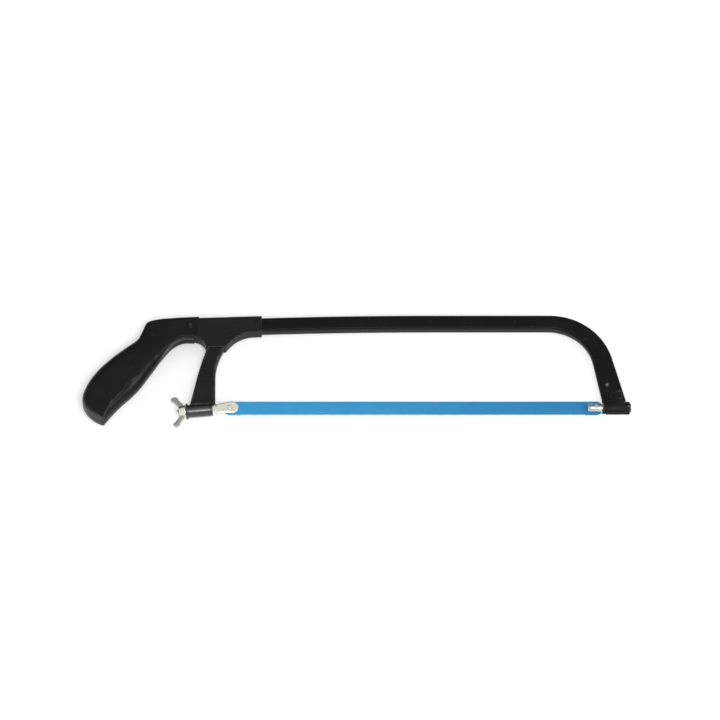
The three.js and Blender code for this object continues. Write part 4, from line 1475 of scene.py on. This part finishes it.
@dataclass
class Nose(SubAssembly):
    """Nose bush under the tube's foot, with its rivet."""

    core: float = 4.4
    rear_edge: float = 0.5
    front_edge: float = 0.6
    cut: float = 9.0
    slot_depth: float = 3.0
    slot_half: float = 1.5
    seat_half: float = 2.9
    seat_reach: float = 8.2
    seat_inset: float = 0.3
    seat_edge: float = 0.5
    bedding: float = 0.05
    sleeve_length: float = 3.4
    sleeve_bore: float = 3.9
    sleeve_lap: float = 0.6
    sleeve_edge: float = 0.5
    sleeve_floor: float = 0.25
    sleeve_gap: float = 0.01
    notch_depth: float = 3.0
    notch_half: float = 7.2
    rivet_y: float = 19.5
    rivet_setback: float = 2.0
    rivet_face: float = 3.62
    rivet_radius: float = 1.7
    rivet_crown: Profile = (
        (-0.1, 2.55),
        (0.12, 2.5),
        (0.45, 1.836),
        (0.68, 0.8925),
        (0.74, 0.05),
    )

    def build(self) -> None:
        """Builds the bush with its seat, sleeve and slots, and the rivet above it."""
        rear, front = PLAN.nose_rear_x, PLAN.nose_front_x
        radius = PLAN.bush_diameter / 2
        profile = [(rear, self.core), *bevelled(rear, radius, self.rear_edge, 1)]
        profile += [*reversed(bevelled(front, radius, self.front_edge, -1)), (front, self.core)]
        nose = Bench.turned("nose", profile, segments=72)
        Bench.combine(nose, self.seat(), "UNION")
        Bench.combine(nose, self.sleeve(), "UNION")
        cut_square_bore(nose, rear, front)
        low, high = front - self.slot_depth, front + OVERCUT
        for wide, tall in ((self.slot_half, self.cut), (self.cut, self.slot_half)):
            Bench.combine(nose, Bench.bar("slot", (low, -wide, -tall), (high, wide, tall)))
        self.dress(nose, "nose_block", PRESSED_ENAMEL, smooth=30)
        self.build_rivet()

    def seat(self) -> Piece:
        """Ridge on the nose that carries the tube's foot."""
        middle = PLAN.foot_x - PLAN.foot_y * math.tan(PLAN.front_lean)
        foot = PLAN.foot_y - self.bedding
        rear = PLAN.nose_rear_x + self.seat_inset
        front = PLAN.nose_front_x - self.slot_depth
        outline = [(rear, 0.0), (front, 0.0), (min(middle + self.seat_reach, front), foot)]
        outline.append((max(middle - self.seat_reach, rear), foot))
        half = self.seat_half
        return Bench.pillow("seat", outline, -half, half, self.seat_edge, steps=3)

    def sleeve(self) -> Piece:
        """Half sleeve on the nose's rear end, notched where the bar runs in."""
        rear, front = PLAN.nose_rear_x - self.sleeve_length, PLAN.nose_rear_x + self.sleeve_lap
        radius, edge, wide = PLAN.bush_diameter / 2, self.sleeve_edge, self.cut
        outer = radius - self.bedding
        profile = [(rear, edge), (rear, radius - edge), (rear + edge, outer)]
        profile += [(front, outer), (front, edge)]
        sleeve = Bench.turned("sleeve", profile, segments=72)
        start = rear - OVERCUT
        bore = [(start, self.sleeve_bore), (PLAN.nose_rear_x, self.sleeve_bore)]
        Bench.combine(sleeve, Bench.turned("sleeve_bore", bore, segments=64))
        high = (PLAN.nose_rear_x - self.sleeve_gap, wide, self.sleeve_floor)
        Bench.combine(sleeve, Bench.bar("below", (start, -wide, -wide), high))
        apex, half = rear + self.notch_depth, self.notch_half
        notch = [(start, -half), (apex, 0.0), (start, half)]
        rings = [[Vector((x, y, z)) for x, y in notch] for z in (-wide, wide)]
        return Bench.combine(sleeve, Bench.loft("notch", rings))

    def build_rivet(self) -> None:
        """Turns the low-headed rivet in the front leg."""
        rivet = headed_rivet("leg_rivet", self.rivet_face, self.rivet_radius, self.rivet_crown)
        x = PLAN.foot_x - self.rivet_y * math.tan(PLAN.front_lean) - self.rivet_setback
        Bench.shift(rivet, Matrix.Translation((x, self.rivet_y, 0)))
        self.dress(rivet, "nose_rivet", TOP_LIGHTENED_ENAMEL, smooth=40)


@dataclass
class Blade(SubAssembly):
    """Blue blade with a row of teeth in a wavy set."""

    body: str = "blade"
    corner: float = 5.4
    pitch: float = 1.4
    depth: float = 0.75
    toothless: float = 9.0
    wave: float = 0.2
    wave_length: float = 11.0
    wave_ramp: Point = (6.0, 14.0)
    tooth_face: float = 0.08
    tooth_root: float = 0.3
    gullet: float = 0.92
    corner_steps: int = 6
    hole_cut: float = 4.0
    cut_lifts: Point = (1.1, 1.9)
    cut_step: int = 6
    bare_end: float = 4.0
    bare_tip: float = 0.2

    def outline(self) -> list[Point]:
        """Outline of the blade, teeth included."""
        half = PLAN.blade_height / 2
        rear, front = -PLAN.blade_margin, PLAN.pin_spacing + PLAN.blade_margin
        radius = self.corner
        points = arc((rear + radius, -half + radius), radius, 180, 270, self.corner_steps)
        count = int((PLAN.pin_spacing - 2 * self.toothless) / self.pitch)
        first = (PLAN.pin_spacing - count * self.pitch) / 2
        for tooth in range(count):
            heel = first + tooth * self.pitch
            points.append((heel, -half))
            points.append((heel + self.pitch * self.tooth_face, -half + self.depth * self.gullet))
            points.append((heel + self.pitch * self.tooth_root, -half + self.depth))
        points.append((first + count * self.pitch, -half))
        points += arc((front - radius, -half + radius), radius, 270, 360, self.corner_steps)
        points += arc((front - radius, half - radius), radius, 0, 90, self.corner_steps)
        points += arc((rear + radius, half - radius), radius, 90, 180, self.corner_steps)
        return points

    def build(self) -> None:
        """Extrudes the outline, drills it and waves its toothed edge."""
        top = -PLAN.fit
        ring = self.outline()
        levels = (top - PLAN.blade_thickness, top)
        blade = Bench.loft("blade_strip", [[Vector((x, y, z)) for x, y in ring] for z in levels])
        radius = PLAN.pin_diameter / 2 + PLAN.fit
        for x in (0.0, PLAN.pin_spacing):
            Bench.drill(blade, (x, 0.0), radius, (-self.hole_cut, self.hole_cut))
        self.divide(blade)
        half = PLAN.blade_height / 2
        for vert in blade.data.vertices:
            x = vert.co.x
            share = ease(-half + self.cut_lifts[1], -half, vert.co.y)
            inner = ease(*self.wave_ramp, x) * ease(*self.wave_ramp, PLAN.pin_spacing - x)
            vert.co.z += self.wave * share * inner * math.sin(2 * math.pi * x / self.wave_length)
        self.mark_teeth(blade)
        self.dress(blade, "blade", BLADE_LACQUER, smooth=30)

    def divide(self, blade: Piece) -> None:
        """Bisects the blade along and across, so that only the toothed edge leaves the plane."""
        Bench.pick(blade)
        bpy.ops.object.mode_set(mode="EDIT")
        half = PLAN.blade_height / 2
        cuts = [((0, -half + lift, 0), (0, 1, 0)) for lift in self.cut_lifts]
        places = range(self.cut_step, int(PLAN.pin_spacing), self.cut_step)
        cuts += [((x, 0, 0), (1, 0, 0)) for x in places]
        for point, normal in cuts:
            bpy.ops.mesh.select_all(action="SELECT")
            bpy.ops.mesh.bisect(plane_co=point, plane_no=normal)
        bpy.ops.object.mode_set(mode="OBJECT")

    def mark_teeth(self, blade: Piece) -> None:
        """Marks the tooth tips as worn bright."""
        half = PLAN.blade_height / 2
        values = []
        for vert in blade.data.vertices:
            on_teeth = self.bare_end < vert.co.x < PLAN.pin_spacing - self.bare_end
            values.append(1.0 if on_teeth and vert.co.y < -half + self.bare_tip else 0.0)
        Bench.mark_wear_and_highlight(blade, values)


@dataclass(frozen=True)
class GripStation:
    """Section of the grip: a point on its back, one on its finger side, and half its thickness."""

    back: Point
    finger: Point
    half: float


@dataclass
class Grip(SubAssembly):
    """Pistol grip of two moulded halves, with its rivet and screws."""

    reach: float = 92.0
    drop: float = 83.7
    swell: float = 5.0
    roof: float = 1.9
    floor: float = 4.7
    cheek: float = 3.0
    lean: float = 3.0
    slant: float = 4.0
    gap: float = 0.2
    rings: int = 96
    sides: int = 72
    scoop_edge: float = 0.68
    scoop_foot: float = 0.78
    finger_power: float = 2.2
    back_power: float = 3.6
    front_power: float = 11.0
    back_blend: Point = (0.1, 0.42)
    finger_blend: Point = (0.1, 0.36)
    scoop_in: Point = (0.5, 0.66)
    scoop_out: Point = (0.94, 1.0)
    cheek_share: float = 0.35
    wall_share: float = 0.55
    rim: float = 0.12
    screws: tuple[tuple[str, float, float, float], ...] = (
        ("mid", 0.3674, 0.1816, 0.2),
        ("butt", 0.8087, 0.6822, 1.0),
    )
    sink_radius: float = 3.5
    sink_depth: float = 3.0
    screw_shank: float = 1.75
    screw_bedding: float = 0.05
    screw_point: float = 0.4
    pan_head: Profile = (
        (2.2, 0.3),
        (2.15, 1.6),
        (1.8, 2.624),
        (1.2, 3.2),
        (0.1, 3.2),
        (0.0, 3.05),
    )
    recess: Point = (1.9, 0.42)
    recess_floor: float = 0.9
    rivet_setback: float = 4.0
    rivet_radius: float = 1.8
    rivet_bedding: float = 0.05
    rivet_crown: Profile = (
        (-0.1, 2.7),
        (0.15, 2.65),
        (0.5, 1.89),
        (0.72, 0.81),
        (0.76, 0.05),
    )

    def at(self, reach: float, drop: float, base: float = 0.0) -> Point:
        """Point at shares of the grip's reach and drop."""
        return (-reach * self.reach, base - drop * self.drop)

    def stations(self) -> list[GripStation]:
        """The drawn sections from the bracket to the butt."""
        roof = PLAN.tube_height / 2 + self.roof
        floor = -PLAN.tube_height / 2 - self.floor
        half = PLAN.tube_width / 2 + self.cheek
        at = self.at
        drawn = [
            ((self.lean, roof), (self.lean - self.slant, floor), 0.0),
            (at(0.1793, 0.0131, roof), at(0.1087, 0.0024, floor), 0.0),
            (at(0.3478, 0.0335, roof), at(0.1957, 0.0526, floor), 0.06),
            (at(0.4293, 0.0645, roof), at(0.2467, 0.2425), 0.16),
            (at(0.4685, 0.0538), at(0.3011, 0.3345), 0.36),
            (at(0.5109, 0.1434), at(0.3554, 0.4301), 0.6),
            (at(0.6141, 0.2366), at(0.4152, 0.5257), 0.86),
            (at(0.7478, 0.3572), at(0.4826, 0.6356), 1.0),
            (at(0.8804, 0.5066), at(0.5663, 0.7384), 1.0),
            (at(0.9674, 0.6583), at(0.6435, 0.8196), 1.0),
            (at(1.0, 0.7885), at(0.7076, 0.8949), 0.96),
            (at(0.9717, 0.8793), at(0.7554, 0.9558), 0.84),
            (at(0.9043, 0.9486), at(0.7826, 0.9892), 0.6),
            (at(0.8283, 0.994), at(0.8043, 1.0), 0.2),
        ]
        return [
            GripStation(back, finger, half + swell * self.swell) for back, finger, swell in drawn
        ]

    def section(self, share: float, side: int) -> Ring:
        """Half section of the grip at a share of its length.

        Args:
            share: Share of the length from the bracket.
            side: 1 for the near half, -1 for the far half.

        Returns:
            Points from the back round the cheek to the finger side.
        """
        stations = self.stations()
        back = through([Vector((*s.back, s.half)) for s in stations], share)
        finger = through([Vector((*s.finger, s.half)) for s in stations], share)
        middle = (back + finger) / 2
        across = Vector((finger.x - back.x, finger.y - back.y))
        reach = across.length / 2
        across.normalize()
        bottom = self.gap / 2
        height = back.z - bottom
        back_power = mix(self.front_power, self.back_power, ease(*self.back_blend, share))
        finger_power = mix(self.front_power, self.finger_power, ease(*self.finger_blend, share))
        scooped = ease(*self.scoop_in, share) * (1 - ease(*self.scoop_out, share))
        ring = []
        for i in range(self.sides + 1):
            turn = math.pi * i / self.sides
            power = back_power if turn > math.pi / 2 else finger_power
            along = abs(math.cos(turn)) ** (2 / power)
            rise = abs(math.sin(turn)) ** (2 / power)
            if turn <= math.pi / 2:
                facet_along, facet_rise = self.scoop(1 - 2 * turn / math.pi)
                along = mix(along, facet_along, scooped)
                rise = mix(rise, facet_rise, scooped)
            else:
                along = -along
            place = middle.xy + reach * along * across
            ring.append(Vector((place.x, place.y, side * (bottom + height * rise))))
        return ring

    def scoop(self, share: float) -> Point:
        """Point of the scooped finger side: flat cheek, crisp edge, hollow step, round side.

        Args:
            share: Share of the way from the middle of the cheek to the parting.

        Returns:
            Place along the section and rise, both from 0 to 1.
        """
        if share <= self.cheek_share:
            return (self.scoop_edge * share / self.cheek_share, 1.0)
        foot = (1 - self.scoop_foot**self.finger_power) ** (1 / self.finger_power)
        if share <= self.wall_share:
            wall = (share - self.cheek_share) / (self.wall_share - self.cheek_share)
            rise = mix(1.0, foot, 1 - (1 - wall) ** 2)
            return (mix(self.scoop_edge, self.scoop_foot, wall), rise)
        start = math.acos(self.scoop_foot ** (self.finger_power / 2))
        turn = start * (1 - share) / (1 - self.wall_share)
        power = 2 / self.finger_power
        return (math.cos(turn) ** power, math.sin(turn) ** power)

    def half_mesh(self, name: str, side: int) -> Piece:
        """Lofts one half of the grip."""
        rings = [self.section(step / self.rings, side) for step in range(self.rings + 1)]
        return Bench.loft(name, rings)

    def build(self) -> None:
        """Builds both halves, the rivet and the two screws."""
        origin = Matrix.Translation((PLAN.handle_front_x, PLAN.axis_y(PLAN.handle_front_x), 0))
        place = SAW_PLACE @ origin
        near = self.half_mesh("grip_near", 1)
        far = self.half_mesh("grip_far", -1)
        for label, reach, drop, swell in self.screws:
            spot = self.at(reach, drop)
            face = PLAN.tube_width / 2 + self.cheek + swell * self.swell
            ends = (-face - self.sink_depth, -face + self.sink_depth)
            Bench.drill(far, spot, self.sink_radius, ends, segments=48)
            self.build_screw(label, face, place @ Matrix.Translation((*spot, 0)))
        for half, node in ((near, "handle_near"), (far, "handle_far")):
            Bench.ease_edges(half, self.rim, angle=50)
            self.dress(half, node, GRIP_PLASTIC, place, smooth=38)
        self.build_rivet(place)

    def build_screw(self, label: str, face: float, place: Matrix) -> None:
        """Turns a pan-headed screw with a cross recess, sunk in the far half.

        Args:
            label: Which screw.
            face: Height of the cheek there.
            place: Matrix from the screw's axis to the part's frame.
        """
        seat = -face + self.sink_depth + self.screw_bedding
        tip, shank = face - self.sink_depth, self.screw_shank
        profile = [(seat - rise, radius) for rise, radius in self.pan_head]
        profile += [(seat, shank), (tip - self.screw_point, shank), (tip, shank - self.screw_point)]
        screw = Bench.turned(f"grip_screw_{label}", profile, segments=40, axis="Z")
        for wide, tall in (self.recess, self.recess[::-1]):
            low = (-wide, -tall, seat - self.sink_depth)
            high = (wide, tall, seat - self.recess_floor)
            Bench.combine(screw, Bench.bar("recess", low, high))
        self.dress(screw, f"handle_screw_{label}", BRIGHT_ZINC, place, smooth=35)

    def build_rivet(self, place: Matrix) -> None:
        """Turns the rivet through the grip's front end."""
        face = PLAN.tube_width / 2 + self.cheek + self.rivet_bedding
        rivet = headed_rivet("grip_rivet", face, self.rivet_radius, self.rivet_crown)
        x = PLAN.handle_front_x - self.rivet_setback
        rise = PLAN.axis_y(x) - PLAN.axis_y(PLAN.handle_front_x)
        Bench.shift(rivet, Matrix.Translation((-self.rivet_setback, rise, 0)))
        self.dress(rivet, "handle_rivet", TOP_LIGHTENED_PLASTIC, place, smooth=40)


@dataclass(frozen=True)
class SoftBox:
    """Square area light: its name, place, size and power."""

    name: str
    place: Triple
    size: float
    power: float

    def build(self) -> None:
        """Adds the light, aimed at the saw."""
        data = bpy.data.lights.new(self.name, "AREA")
        data.size = self.size
        data.energy = self.power
        light = bpy.data.objects.new(self.name, data)
        bpy.context.scene.collection.objects.link(light)
        light.location = self.place
        light.rotation_mode = "QUATERNION"
        light.rotation_quaternion = (-Vector(self.place)).to_track_quat("-Z", "Y")


def grey(level: float) -> tuple[float, float, float, float]:
    """Neutral colour of a level."""
    return (level, level, level, 1.0)


@dataclass
class Studio:
    """Floor, soft light and camera."""

    elevation: float = 65.0
    distance: float = 8.0
    view_width: float = 0.590
    target: Triple = (0.0028, 0.0113, 0.013)
    floor_rise: float = 0.0076
    floor_from: float = -0.196
    floor_to: float = 0.214
    floor_size: float = 16.0
    floor_gap: float = 0.0004
    floor_tone: float = 0.8
    floor_glow: float = 0.24
    floor_roughness: float = 0.9
    horizon_tone: float = 0.95
    zenith_tone: float = 0.86
    behind_tone: float = 0.1
    behind_band: Point = (0.5, 0.8)
    zenith_band: Point = (0.05, 0.75)
    sensor: float = 36.0
    clip: Point = (0.01, 100.0)
    lights: tuple[SoftBox, ...] = (
        SoftBox("soft_box", (0.05, -0.72, 1.5), 0.55, 12.0),
        SoftBox("side_box", (1.3, -0.5, 0.7), 0.45, 9.0),
    )

    def build(self) -> None:
        """Sets the whole studio."""
        self.build_floor()
        self.build_world()
        for light in self.lights:
            light.build()
        self.build_camera()
        bpy.context.scene.view_settings.view_transform = "Standard"

    def build_floor(self) -> None:
        """Pale floor that meets the grip and the nose."""
        Bench.clear()
        bpy.ops.mesh.primitive_plane_add(size=self.floor_size)
        floor = bpy.context.active_object
        floor.name = "floor"
        slope = math.atan2(self.floor_rise, self.floor_to - self.floor_from)
        floor.rotation_euler = (0, -slope, 0)
        floor.location = (0, 0, -self.floor_from * math.tan(slope) - self.floor_gap)
        material = bpy.data.materials.new("pale_floor")
        material.use_nodes = True
        shader = material.node_tree.nodes["Principled BSDF"]
        shader.inputs["Base Color"].default_value = grey(self.floor_tone)
        shader.inputs["Emission Color"].default_value = grey(1.0)
        shader.inputs["Emission Strength"].default_value = self.floor_glow
        shader.inputs["Roughness"].default_value = self.floor_roughness
        shader.inputs["Specular IOR Level"].default_value = 0.0
        floor.data.materials.append(material)

    def build_world(self) -> None:
        """World that is pale in front and above, and darker behind the saw."""
        world = bpy.data.worlds.new("studio")
        bpy.context.scene.world = world
        world.use_nodes = True
        nodes = Nodes(world.node_tree)
        background = world.node_tree.nodes["Background"]
        place = nodes.add("ShaderNodeTexCoord")
        split = nodes.add("ShaderNodeSeparateXYZ", inputs={0: place.outputs["Generated"]})
        behind = nodes.ranged(split.outputs["Y"], *self.behind_band)
        high = nodes.ranged(split.outputs["Z"], *self.zenith_band)
        pale = nodes.blend(high, grey(self.horizon_tone), grey(self.zenith_tone))
        nodes.link(nodes.blend(behind, pale, grey(self.behind_tone)), background.inputs["Color"])
        background.inputs["Strength"].default_value = 1.0

    def build_camera(self) -> None:
        """Camera at the photograph's angle, with a long lens."""
        data = bpy.data.cameras.new("camera")
        camera = bpy.data.objects.new("camera", data)
        bpy.context.scene.collection.objects.link(camera)
        turn = math.radians(self.elevation)
        back = Vector((0, -math.cos(turn), math.sin(turn)))
        camera.location = Vector(self.target) + back * self.distance
        camera.rotation_mode = "QUATERNION"
        camera.rotation_quaternion = (-back).to_track_quat("-Z", "Y")
        data.sensor_width = self.sensor
        data.lens = self.sensor * self.distance / self.view_width
        data.clip_start, data.clip_end = self.clip
        bpy.context.scene.camera = camera


def main() -> None:
    """Builds the saw piece by piece, then the studio."""
    logging.basicConfig(level=logging.INFO, format="%(name)s: %(message)s")
    tube, leg = FrameTube(), RearLeg()
    tube.build()
    Bracket().build(tube, leg)
    leg.build()
    Tensioner().build()
    FrontHold().build()
    Nose().build()
    Blade().build()
    Grip().build()
    Bench.clear()
    Studio().build()


if __name__ == "__main__":
    main()
